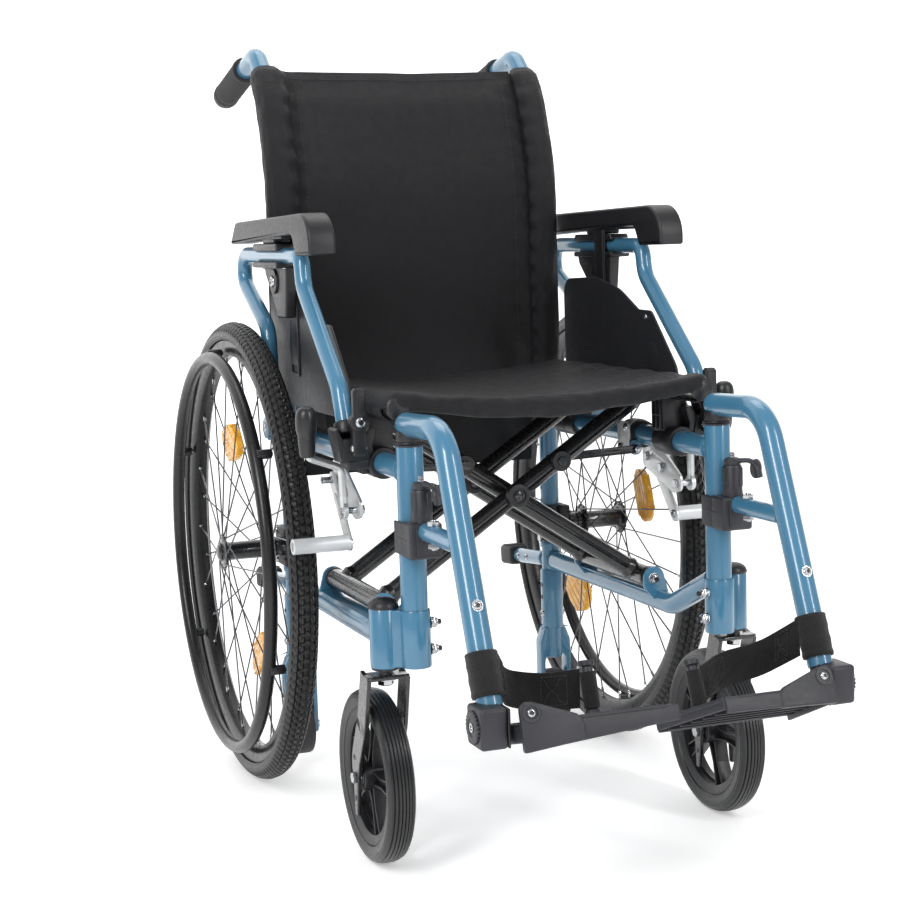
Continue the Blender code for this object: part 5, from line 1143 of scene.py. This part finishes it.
def footplate(s, t, body):
    q = Make("footplate_moulding" + t)
    m = Matrix.Translation((0, -0.5050, 0.2360)) @ Matrix.Rotation(-PEDAL_TILT[s], 4, "X")
    if s < 0:
        plan = [(-0.1760, 0.1050), (-0.1760, 0.0), (-0.0030, 0.0), (-0.0400, 0.1050)]
    else:
        plan = [(0.1760, 0.1050), (0.1760, 0.0), (0.0450, 0.0), (0.0120, 0.1050)]
    q.use(PLASTIC)
    q.slab(soft(plan, [0.012, 0.004, 0.012, 0.016]), "XY", -0.0048, 0.0, 0.0018, m=m, res=3)
    # tread bars on the top
    for k in range(9):
        v = 0.012 + 0.0100 * k
        f = v / 0.105
        xi = plan[2][0] + (plan[3][0] - plan[2][0]) * f + s * 0.010
        q.box((s * 0.168, v, -0.001), (xi, v + 0.0032, 0.0010), 0.0006, m, 1)
    deep = 0.0300 if s < 0 else 0.0206
    q.slab([(plan[1][0], -0.0006), (plan[1][0], 0.0008 - deep), (plan[2][0] + s * 0.002, -0.0162), (plan[2][0] + s * 0.002, -0.0006)], "XZ", 0.0, 0.0042, 0.0014, m=m, res=3)
    q.box((plan[0][0], 0.1004, -0.0145), (plan[3][0] + s * 0.004, 0.1044, -0.0010), 0.0014, m)
    q.box((s * 0.1760, 0.0008, -0.0198), (s * 0.1716, 0.1040, -0.0010), 0.0014, m)
    a, b = Vector((*plan[2], 0)), Vector((*plan[3], 0))
    dirn = (b - a).normalized()
    q.box((-0.0020, 0.0020, -0.0125), (0.0020, (b - a).length - 0.0030, -0.0010), 0.0012,
          m @ Matrix.Translation((a.x + s * 0.0030, a.y, 0)) @ Matrix.Rotation(math.atan2(-dirn.x, dirn.y), 4, "Z"))
    for y in (0.020, 0.037, 0.054, 0.071, 0.088):
        f = y / 0.105
        xi = plan[2][0] + (plan[3][0] - plan[2][0]) * f + s * 0.004
        q.box((s * 0.1730, y, -0.0150), (xi, y + 0.0022, -0.0020), 0.0006, m, 1)
    for k in range(6):
        x0 = s * (0.060 + 0.019 * k)
        q.box((x0 - 0.0011, 0.003, -0.0125), (x0 + 0.0011, 0.102, -0.0020), 0.0006, m, 1)
    low = -0.0162 - (deep - 0.0162) * 0.55
    ear = soft([(s * 0.1766, -deep), (s * 0.1766, 0.0196), (s * 0.1640, 0.0196), (s * 0.1100, 0.0003), (s * 0.1100, low)], [0.003, 0.008, 0.008, 0.014, 0.003], math.radians(8))
    q.slab(ear, "XZ", -0.0010, 0.0061, 0.0016, m=m, res=3)
    q.lathe([(0.0062, 0.0), (0.0096, 0.0), (0.0100, 0.0007), (0.0094, 0.0014), (0.0066, 0.0014), (0.0062, 0.0004)], (s * 0.1652, -0.0008, 0.0085), (0, -1, 0), 40, True, m=m)
    q.use(BLACKPLASTIC).lathe([(0, 0), (0.0064, 0), (0.0064, 0.0005), (0, 0.0005)], (s * 0.1652, -0.0008, 0.0085), (0, -1, 0), 32, m=m)
    q.use(STEEL).screw((s * 0.1652, -0.0010, 0.0085), (0, -1, 0), 0.0046, 0.0020, m=m)
    # strap peg
    q.use(PLASTIC)
    q.cyl((s * 0.0620, 0.0860, -0.0020), (s * 0.0620, 0.0860, 0.0510), 0.0058, 32, 0.001, m=m)
    q.lathe([(0.0, 0.0498), (0.0078, 0.0498), (0.0086, 0.0506), (0.0086, 0.0548), (0.0076, 0.0560), (0.0, 0.0562)], (s * 0.0620, 0.0860, 0.0), (0, 0, 1), 36, m=m)
    q.lathe([(0.0058, 0.0), (0.0095, 0.0), (0.0080, 0.0040), (0.0058, 0.0060)], (s * 0.0620, 0.0860, 0.0), (0, 0, 1), 36, True, m=m)
    return q.done(body, "plastic", "footplate" + t)


def heel_strap(s, t, body):
    m4 = Matrix.Translation((0, -0.5050, 0.2360)) @ Matrix.Rotation(-PEDAL_TILT[s], 4, "X")
    c = m4 @ Vector((s * 0.0620, 0.0860, 0.0260))
    d = Vector((0, -0.4560 + 0.3450, 0.2420 - 0.5110)).normalized()
    x = s * HALF
    top, low = Vector((x, -0.4560, 0.2420)) - d * 0.0560, Vector((x, -0.4560, 0.2420)) - d * 0.0100
    q = Make("heel_strap_webbing" + t)
    q.use(WEBBING)
    prof = [(0.0139, 0.0), (0.0162, 0.0004), (0.0170, 0.0020), (0.0166, 0.0040), (0.0168, 0.0060)]
    L = (low - top).length
    for k in range(7):
        prof.append((0.0167 + 0.0004 * math.sin(k * 1.9), 0.008 + (L - 0.016) * k / 6))
    prof += [(0.0166, L - 0.006), (0.0171, L - 0.003), (0.0163, L), (0.0139, L)]
    q.lathe(prof, top, d, 56, True)
    mid = (top + low) / 2
    pts = [mid + Vector((-s * 0.0150, 0.0040, 0)), Vector((s * 0.1500, -0.4020, 0.2480)), Vector((s * 0.1050, -0.3900, 0.2360)), Vector((c.x + s * 0.0085, c.y + 0.0062, c.z))]
    line = rounded(pts, [0.04, 0.04], math.radians(4))
    dense = [line[0]]
    for a, b in zip(line, line[1:]):
        k = max(1, int((b - a).length / 0.004))
        dense += [a.lerp(b, i / k) for i in range(1, k + 1)]
    total = sum((b - a).length for a, b in zip(dense, dense[1:]))
    w = 0.0210
    verts, faces, m = [], [], 18
    run = 0.0
    for k, p in enumerate(dense):
        a, b = dense[max(k - 1, 0)], dense[min(k + 1, len(dense) - 1)]
        if k:
            run += (p - dense[k - 1]).length
        side = (b - a).normalized().cross(Vector((0, 0, 1))).normalized()
        f = run / total
        sag = 0.0035 * math.sin(math.pi * f)
        ww = w * (1 - 0.06 * math.sin(math.pi * f))
        for j in range(m):
            v = -1 + 2 * j / (m - 1)
            wave = 0.0016 * math.sin(7 * f + 2.2 * v) * math.sin(math.pi * f) + 0.0009 * noise.noise(Vector((f * 9, v * 2.5, s)))
            verts.append(p + side * (wave + 0.0010 * v * v) + Vector((0, 0, v * ww - sag)))
    rows = len(dense)
    for i in range(rows - 1):
        for j in range(m - 1):
            faces.append((i * m + j, i * m + j + 1, (i + 1) * m + j + 1, (i + 1) * m + j))
    front = list(verts)
    back = []
    for k in range(rows):
        a, b = dense[max(k - 1, 0)], dense[min(k + 1, rows - 1)]
        side = (b - a).normalized().cross(Vector((0, 0, 1))).normalized()
        back += [verts[k * m + j] - side * 0.0016 for j in range(m)]
    n0 = len(front)
    faces += [tuple(n0 + i for i in reversed(f)) for f in faces]
    for i in range(rows - 1):
        faces.append((i * m, (i + 1) * m, n0 + (i + 1) * m, n0 + i * m))
        faces.append((i * m + m - 1, n0 + i * m + m - 1, n0 + (i + 1) * m + m - 1, (i + 1) * m + m - 1))
    for j in range(m - 1):
        faces.append((j, n0 + j, n0 + j + 1, j + 1))
        e = (rows - 1) * m
        faces.append((e + j, e + j + 1, n0 + e + j + 1, n0 + e + j))
    q.add(front + back, faces)
    # loop round the peg
    ax = (m4.to_3x3() @ Vector((0, 0, 1))).normalized()
    q.lathe([(0.0066, 0.0060), (0.0084, 0.0062), (0.0086, 0.0240), (0.0084, 0.0440), (0.0066, 0.0444)], m4 @ Vector((s * 0.0620, 0.0860, 0.0)), ax, 36, True)
    # box-and-cross stitching near the peg and at the cuff
    q.use(THREAD)

    def stitches(f0, f1):
        i0, i1 = int(f0 * (rows - 1)), int(f1 * (rows - 1))
        runs = [[(i0, v) for v in np.linspace(-0.82, 0.82, 12)], [(i1, v) for v in np.linspace(-0.82, 0.82, 12)],
                [(i0 + (i1 - i0) * u, -0.82) for u in np.linspace(0, 1, 9)], [(i0 + (i1 - i0) * u, 0.82) for u in np.linspace(0, 1, 9)],
                [(i0 + (i1 - i0) * u, -0.82 + 1.64 * u) for u in np.linspace(0, 1, 12)], [(i0 + (i1 - i0) * u, 0.82 - 1.64 * u) for u in np.linspace(0, 1, 12)]]
        for r in runs:
            for (ia, va), (ib, vb) in zip(r[::1], r[1::1]):
                def at(i, v, back_):
                    i = int(round(i))
                    j = int(round((v + 1) / 2 * (m - 1)))
                    base = verts[i * m + j]
                    a, b = dense[max(i - 1, 0)], dense[min(i + 1, rows - 1)]
                    side = (b - a).normalized().cross(Vector((0, 0, 1))).normalized()
                    return base + side * (0.0004 if not back_ else -0.0020)
                for back_ in (False, True):
                    pa, pb = at(ia, va, back_), at(ib, vb, back_)
                    if (pb - pa).length > 1e-4:
                        q.cyl(pa.lerp(pb, 0.15), pa.lerp(pb, 0.85), 0.00045, 6, 0.0001)
    stitches(0.72, 0.93)
    stitches(0.12, 0.20)
    o = q.done(body, "nylon", "heel_strap" + t)
    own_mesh(o)
    return o, total


# ---------------------------------------------------------------- cross brace
def link_end(s):
    return Vector((-s * LINK_D * math.cos(FOLD_T0), 0, CEN_Z + LINK_D * math.sin(FOLD_T0)))


def brace(s, t, body):
    q = Make("brace_arms" + t)
    low, high = Vector((s * PIV_X, 0, PIV_Z)), Vector((-s * HALF, 0, SEAT_Z))
    d = (high - low).normalized()
    nrm = Vector((-d.z, 0, d.x))
    q.use(GLOSS)
    q.tube([(high.x, -0.1960, high.z), (high.x, 0.2300, high.z)], SEAT_R, 40)
    q.tube([(low.x, -0.0840, low.z), (low.x, 0.1165, low.z)], 0.0125, 40)
    # arm section: round tube with a shallow groove down its front and back
    sec = []
    for k in range(44):
        a = 2 * math.pi * k / 44
        r = ARM_R
        if abs(math.cos(a)) > 0.965:
            r -= 0.0022 * smooth01((abs(math.cos(a)) - 0.965) / 0.02)
        sec.append((r * math.cos(a), r * math.sin(a)))
    for i, y in enumerate(ARM_Y[s]):
        p0, p1 = low + Vector((0, y, 0)), high + Vector((0, y, 0))
        q.sweep([p0, p0.lerp(p1, 0.5), p1], sec, tuple(nrm))
        for p, k in ((p0, 1), (p1, -1)):
            q.lathe([(0.0100, 0.0), (0.0142, 0.0130), (0.0128, 0.0165), (0.0116, 0.0200), (0.0100, 0.0200)], p, d * k, 40, True)
    q.use(BLACKPLASTIC)
    q.lathe([(0.0, 0.0), (0.0118, 0.0), (0.0132, 0.0010), (0.0136, 0.0030), (0.0134, 0.0060), (0.0110, 0.0078), (0.0, 0.0086)], (high.x, -0.1955, high.z), (0, -1, 0), 48)
    q.lathe([(0.0, 0.0), (0.0118, 0.0), (0.0130, 0.0010), (0.0132, 0.0030), (0.0, 0.0040)], (high.x, 0.2296, high.z), (0, 1, 0), 48)
    for y in (-0.0835, 0.1120):
        q.lathe([(0.0120, 0.0), (0.0134, 0.0002), (0.0136, 0.0040), (0.0120, 0.0044)], (low.x, y, low.z), (0, 1, 0), 44, True)
    if s < 0:
        for y in ARM_Y[s]:
            q.use(BLACKPLASTIC)
            q.lathe([(0.0, 0.0), (0.0138, 0.0), (0.0150, 0.0012), (0.0152, 0.0052), (0.0140, 0.0078), (0.0092, 0.0084), (0.0086, 0.0068), (0.0, 0.0068)], (0, y - 0.0080, CEN_Z), (0, -1, 0), 48)
            q.use(GLOSS)
            q.nut((0, y - 0.0145, CEN_Z), (0, -1, 0), 0.0064, 0.0030)
            q.cyl((0, y - 0.0100, CEN_Z), (0, y + 0.0400, CEN_Z), 0.0040, 24)
            q.nut((0, y + 0.0385, CEN_Z), (0, 1, 0), 0.0080, 0.0045)
    p = link_end(s)
    y = ARM_Y[s][0]
    q.use(BLACKPLASTIC).lathe([(0.0, 0.0), (0.0118, 0.0), (0.0128, 0.0010), (0.0130, 0.0048), (0.0118, 0.0068), (0.0, 0.0072)], (p.x, y - 0.0080, p.z), (0, -1, 0), 44)
    q.use(GLOSS).nut((p.x, y - 0.0142, p.z), (0, -1, 0), 0.0060, 0.0034)
    # small screws of the seat rail
    q.use(STEEL)
    for yy in (-0.150, -0.060, 0.040, 0.130, 0.205):
        q.screw((high.x + s * 0.0118, yy, high.z - 0.0030), (s, 0, -0.25), 0.0034, 0.0018)
    return q.done(body, "black_metal", "brace" + t)


def link(s, t, body):
    q = Make("stay_link_bar" + t)
    a = Vector((s * PIV_X, 0, PIV_Z + LINK_H))
    p = link_end(-s)
    yc = -0.0515 if s > 0 else -0.0630
    d = (p - a).normalized()
    n = Vector((-d.z, 0, d.x))
    pts = [a - d * 0.0060 + n * 0.0050, a - d * 0.0060 - n * 0.0050, p + d * 0.0076 - n * 0.0050, p + d * 0.0076 + n * 0.0050]
    q.use(GLOSS).slab(soft([(c.x, c.z) for c in pts], 0.0048), "XZ", yc - 0.0020, yc + 0.0020, 0.0008, [ring2(a.x, a.z, 0.0040)])
    mid0, mid1 = a.lerp(p, 0.2), a.lerp(p, 0.8)
    pts = [mid0 + n * 0.0018, mid0 - n * 0.0018, mid1 - n * 0.0018, mid1 + n * 0.0018]
    q.slab(soft([(c.x, c.z) for c in pts], 0.0016), "XZ", yc - 0.0027, yc + 0.0027, 0.0006)
    return q.done(body, "black_metal", "link" + t)


# ---------------------------------------------------------------- upholstery
def stitched(q, pts, out, length=0.0042, gap=0.0022, r=0.00042, lift=0.0003):
    """A row of stitches along pts; out(point) is the way they stand off the cloth."""
    q.use(THREAD)
    run, total = 0.0, 0.0
    marks = []
    for a, b in zip(pts, pts[1:]):
        d = (b - a).length
        while run <= total + d:
            marks.append(a.lerp(b, (run - total) / d))
            run += length + gap
        total += d
    for a, b in zip(marks, marks[1:]):
        d = (b - a).normalized()
        n = out((a + b) / 2)
        p, e = a + n * lift, a + d * length + n * lift
        q.lathe([(0, 0), (r * 0.8, r * 0.5), (r, (e - p).length * 0.5), (r * 0.8, (e - p).length - r * 0.5), (0, (e - p).length)], p, e - p, 6)


def cloth(q, grid, thick):
    """A sheet of the given thickness over a grid of points [row][column]; returns the area of its middle face."""
    rows, cols = len(grid), len(grid[0])
    nrm = []
    for i in range(rows):
        line = []
        for j in range(cols):
            a = grid[min(i + 1, rows - 1)][j] - grid[max(i - 1, 0)][j]
            b = grid[i][min(j + 1, cols - 1)] - grid[i][max(j - 1, 0)]
            n = a.cross(b)
            line.append(n.normalized() if n.length > 1e-12 else Vector((0, 0, 1)))
        nrm.append(line)
    h = thick / 2
    top = [grid[i][j] + nrm[i][j] * h for i in range(rows) for j in range(cols)]
    low = [grid[i][j] - nrm[i][j] * h for i in range(rows) for j in range(cols)]
    n0 = rows * cols
    faces = []
    for i in range(rows - 1):
        for j in range(cols - 1):
            f = (i * cols + j, i * cols + j + 1, (i + 1) * cols + j + 1, (i + 1) * cols + j)
            faces += [f, tuple(n0 + k for k in reversed(f))]
    for i in range(rows - 1):
        for j in (0, cols - 1):
            a, b = i * cols + j, (i + 1) * cols + j
            faces.append((a, b, n0 + b, n0 + a))
    for j in range(cols - 1):
        for i in (0, rows - 1):
            a, b = i * cols + j, i * cols + j + 1
            faces.append((a, b, n0 + b, n0 + a))
    q.add(top + low, faces)
    area_ = 0.0
    for i in range(rows - 1):
        for j in range(cols - 1):
            a, b, c, d = grid[i][j], grid[i][j + 1], grid[i + 1][j + 1], grid[i + 1][j]
            area_ += ((b - a).cross(c - a).length + (c - a).cross(d - a).length) / 2
    return area_, nrm


def length_of(pts):
    return sum((b - a).length for a, b in zip(pts, pts[1:]))


def seat(body):
    """The seat: one sheet round both rails, sagging between them, with a soft rolled hem at the front."""
    q = Make("seat_sling_cloth")
    q.use(NYLON)
    R = SEAT_R + 0.0022
    cols, grid = 121, []
    half_wrap = math.radians(200)          # how far the cloth goes round each rail
    arc, flatw = R * half_wrap, 2 * HALF
    total = 2 * arc + flatw

    def across(u, sag):
        d = (u + 1) / 2 * total
        if d < arc:
            a = half_wrap - d / R          # from underneath to the top
            return Vector((-HALF - R * math.sin(a), 0, SEAT_Z + R * math.cos(a)))
        if d > total - arc:
            a = half_wrap - (total - d) / R
            return Vector((HALF + R * math.sin(a), 0, SEAT_Z + R * math.cos(a)))
        x = -HALF + (d - arc)
        return Vector((x, 0, SEAT_Z + R - sag * (1 - (x / HALF) ** 2)))

    ys = [0.2350 - 0.4320 * k / 104 for k in range(105)]
    hem = 16
    for i in range(len(ys) + hem):
        row = []
        for j in range(cols):
            u = -1 + 2 * j / (cols - 1)
            inner = smooth01((0.905 - abs(u)) / 0.13)          # 1 between the rails
            mid = 1 - (min(abs(u) / 0.80, 1.0)) ** 2
            if i < len(ys):
                f = (0.2350 - ys[i]) / 0.4320
                y = 0.2350 - (0.4320 - 0.0175 * (1 - inner)) * f
                sag = 0.0135 + 0.0035 * math.sin(math.pi * f)
                p = across(u, sag)
                p.y = y
                w = 0.0016 * noise.noise(Vector((p.x * 9, y * 6, 3.1))) + 0.0009 * noise.noise(Vector((p.x * 26, y * 13, 7.7)))
                # folds running in from the rails
                w += 0.0011 * math.sin(y * 92 + 2.5 * math.sin(p.x * 17)) * smooth01((abs(u) - 0.40) / 0.3) * inner
                # the soft front
                w += 0.0032 * smooth01((f - 0.86) / 0.12) * inner * (0.7 + 0.6 * noise.noise(Vector((p.x * 24, 0.4, 5.2))))
                p.z += w * (0.15 + 0.85 * inner)
                row.append(p)
            else:
                k = (i - len(ys) + 1) / hem
                base = grid[len(ys) - 1][j]
                drop = inner * (0.0205 + 0.0035 * noise.noise(Vector((base.x * 15, 2.2, 0.7))) + 0.0020 * math.cos(u * 4.0))
                r = 0.0062
                a = k * math.radians(236)
                rr = max(drop / 2, 0.0006)
                py = -math.sin(a) * r * (0.10 + 0.90 * inner)
                pz = -(1 - math.cos(a)) * rr
                bump = 0.0013 * noise.noise(Vector((base.x * 32, a * 1.2, 9.4))) * inner
                wr = 0.0008 * math.sin(base.x * 190 + 3.0 * noise.noise(Vector((base.x * 20, 1.0, a)))) * inner * math.sin(min(a, math.pi))
                row.append(base + Vector((0, py - 0.0016 * (1 - inner) * k - bump - wr, pz)))
        grid.append(row)
    area_, nrm = cloth(q, grid, 0.0026)
    up = 1 if nrm[20][60].z > 0 else -1
    hem_row, hem2 = len(ys) - 7, len(ys) - 9

    def out(p):
        return Vector((0, 0, 1))
    for i in (hem_row,):
        line = [grid[i][j] + nrm[i][j] * up * 0.0013 for j in range(16, cols - 16)]
        stitched(q, line, out)
    line = [grid[4][j] + nrm[4][j] * up * 0.0013 for j in range(16, cols - 16)]
    stitched(q, line, out)
    for j in (17, cols - 18):
        line = [grid[i][j] + nrm[i][j] * up * 0.0013 for i in range(3, len(ys) - 8)]
        stitched(q, line, out, 0.0050, 0.0025)
    o = q.done(body, "nylon", "seat_sling", sharp=60)
    w, l = total, length_of([grid[i][60] for i in range(len(grid))])
    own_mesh(o)
    return o


def back_line():
    """The back's line up the posts, y and z, from the flap under the seat to the top."""
    path = [Vector((HALF, BACK_Y, 0.4950)), Vector((HALF, BACK_Y, 0.62))] + [Vector(p) for p in back_path(1)[1:]]
    run = [p for p in path if 0.4949 <= p.z <= 0.9521 and p.y < 0.335]
    dense = []
    for a, b in zip(run, run[1:]):
        k = max(1, int((b - a).length / 0.004))
        dense += [a.lerp(b, i / k) for i in range(k)]
    dense.append(run[-1])
    out = []
    for k, p in enumerate(dense):                                   # smoothed tangents
        a, b = dense[max(k - 6, 0)], dense[min(k + 6, len(dense) - 1)]
        out.append((Vector((0, p.y, p.z)), (b - a).normalized()))
    return out


def bolster(s, t):
    q = Make("back_bolster" + t)
    q.use(NYLON)
    line = back_line()
    n, m = len(line), 72
    total = length_of([p for p, d in line])
    run, verts = 0.0, []
    for k, (p, d) in enumerate(line):
        if k:
            run += (p - line[k - 1][0]).length
        f = run / total
        nrm = Vector((0, d.z, -d.y))                                  # away from the sitter
        ends = min(smooth01(run / 0.010), smooth01((total - run) / 0.012))
        fat = 0.0192 * (0.80 + 0.20 * ends) * (1 + 0.035 * math.sin(9 * f + s))
        wide = 0.0236 * (0.90 + 0.10 * ends)
        for j in range(m):
            a = 2 * math.pi * j / m
            ca, sa = math.cos(a), math.sin(a)                       # ca: outward, sa: to the back
            e = 0.86
            u = math.copysign(abs(ca) ** e, ca)
            v = math.copysign(abs(sa) ** e, sa)
            seam = math.exp(-((math.pi - abs((a + math.pi * 2) % (2 * math.pi))) / 0.46) ** 2)    # the seam facing the panel
            pinch = 0.0040 * seam
            tick = seam * 0.0024 * (abs(math.sin(run * 215 + 1.7 * noise.noise(Vector((run * 30, s, 0))))) - 0.5)
            side = math.exp(-((abs(a - math.pi) - 0.8) / 0.5) ** 2)
            ruck = side * 0.0017 * math.sin(run * 215 + 0.9 + 1.7 * noise.noise(Vector((run * 30, s, 0))))
            soft_ = 0.0014 * noise.noise(Vector((u * 1.6, v * 1.6, run * 13 + 5 * s))) + 0.0008 * noise.noise(Vector((u * 3, v * 3, run * 45 + s)))
            low = 0.0016 * math.sin(run * 95 + 2.2 * ca) * smooth01((0.16 - f) / 0.16)
            g = 1 + (soft_ + ruck + low) / 0.02
            x = s * (0.1855 + u * wide * min(g, 1.02 if ca > 0 else 2.0)) + (s * (pinch + tick) if ca < 0 else 0)
            y = v * fat * g * (1 - 0.10 * seam)
            verts.append(Vector((x, p.y, p.z)) + nrm * y)
    faces = [(i * m + j, i * m + (j + 1) % m, (i + 1) * m + (j + 1) % m, (i + 1) * m + j) for i in range(n - 1) for j in range(m)]
    c0, c1 = len(verts), len(verts) + 1
    p0, d0 = line[0]
    p1, d1 = line[-1]
    verts += [Vector((s * 0.1862, p0.y, p0.z)) - d0 * 0.0008, Vector((s * 0.1862, p1.y, p1.z)) + d1 * 0.0016]
    faces += [(c0, (j + 1) % m, j) for j in range(m)] + [(c1, (n - 1) * m + j, (n - 1) * m + (j + 1) % m) for j in range(m)]
    q.add(verts, faces)
    # hem round the top and bottom, and the side seam's stitches
    for idx in (5, n - 7):
        ring_ = [verts[idx * m + j] for j in range(m)] + [verts[idx * m]]
        c = sum(ring_[:-1], Vector()) / m
        stitched(q, ring_, lambda p, c=c: (p - c).normalized(), 0.0036, 0.0024)
    j = int(m * 0.5) - 7
    stitched(q, [verts[i * m + j] for i in range(3, n - 3)], lambda p: Vector((0, -1, 0)), 0.0044, 0.0026)
    o = q.done("frame" + t, "nylon", sharp=60)
    return o


def back_panel():
    q = Make("back_panel_cloth")
    q.use(NYLON)
    line = back_line()
    line = [(Vector((0, p.y, p.z)), d) for p, d in line if d.z > 0.86]
    p, d = line[-1]
    k = 0
    while p.z < 0.9400:
        k += 1
        p = p + Vector((0, d.y, d.z)) * 0.004
        line.append((p, d))
    flap = []
    for k in range(26):
        f = k / 26
        z = 0.3950 + (0.4950 - 0.3950) * f
        y = BACK_Y + 0.010 - 0.010 * smooth01(f)
        flap.append((Vector((0, y, z)), Vector((0, -0.06, 1)).normalized()))
    line = flap + line
    cols, half = 97, 0.1672
    top_run = length_of([p for p, d in line])
    grid, run = [], 0.0
    for i, (p, d) in enumerate(line):
        if i:
            run += (p - line[i - 1][0]).length
        f = run / top_run
        nrm = Vector((0, d.z, -d.y))
        row = []
        for j in range(cols):
            u = -1 + 2 * j / (cols - 1)
            x = u * half
            hollow = (0.0100 * smooth01((1 - f) / 0.25) + 0.0015) * (1 - u * u) * smooth01((f - 0.10) / 0.25)
            edge = smooth01((abs(u) - 0.90) / 0.10)
            ticks = 0.0012 * math.sin(run * 205 + (0 if u < 0 else 2)) * smooth01((abs(u) - 0.80) / 0.16) * (1 - edge * 0.5)
            folds = 0.0030 * noise.noise(Vector((x * 7, run * 3.2, 1.7))) + 0.0012 * noise.noise(Vector((x * 21, run * 9, 4.0)))
            drag = 0.0020 * math.sin((x * 0.8 + run * 0.55) * 105 + 2 * noise.noise(Vector((x * 8, run * 8, 2)))) * smooth01((0.52 - f) / 0.30) * smooth01((abs(u) - 0.35) / 0.5) * (1 - edge)
            dip = -0.0045 * (1 - u * u) if i == len(line) - 1 else 0.0
            q0 = Vector((x, p.y, p.z)) + nrm * (hollow + ticks + folds * (1 - edge) + drag)
            topdip = smooth01((f - 0.86) / 0.14)
            q0.z -= 0.0022 * (1 - u * u) * topdip
            row.append(q0)
        grid.append(row)
    area_, nrms = cloth(q, grid, 0.0024)
    sg = -1 if nrms[80][48].y > 0 else 1

    def out(p):
        return Vector((0, -1, 0))
    n = len(line)
    for i in (n - 4, 5):
        stitched(q, [grid[i][j] + nrms[i][j] * sg * 0.0012 for j in range(3, cols - 3)], out)
    for j in (5, cols - 6):
        stitched(q, [grid[i][j] + nrms[i][j] * sg * 0.0012 for i in range(30, n - 3)], out, 0.0044, 0.0026)
    # the same rows on the side seen from behind
    for i in (n - 4,):
        stitched(q, [grid[i][j] - nrms[i][j] * sg * 0.0012 for j in range(3, cols - 3)], lambda p: Vector((0, 1, 0)))
    o = q.done("frame_r", "nylon", "back_sling", sharp=60)
    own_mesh(o)
    return o


# ---------------------------------------------------------------- assembly
for s, t in ((-1, "_r"), (1, "_l")):
    base = "frame" + t
    for make, body in ((side_frame, base), (lower_rail, base), (back_post, base), (push_grip, base), (step_cap, base),
                       (caster_housing, base), (axle_bracket, base), (brake_bracket, base),
                       (brake_lever, "brake" + t), (brake_shoe, "shoe" + t),
                       (rear_tyre, "wheel" + t), (rear_rim, "wheel" + t), (rear_hub, "wheel" + t), (handrim, "wheel" + t),
                       (caster_fork, "caster_fork" + t), (caster_wheel, "caster_wheel" + t), (transit_wheel, "roller" + t),
                       (armrest_frame, "armrest" + t), (side_guard, "armrest" + t), (arm_pad, "pad" + t), (arm_latch, "latch" + t),
                       (hanger, "hanger" + t), (hanger_clamp, "hanger" + t), (hanger_lever, "wing" + t),
                       (footplate, "foot" + t), (heel_strap, "hanger" + t), (brace, "brace" + t), (link, "link" + t)):
        make(s, t, body)
    bolster(s, t)
seat("seat")
back_panel()


# ---------------------------------------------------------------- update
bpy.context.view_layer.update()
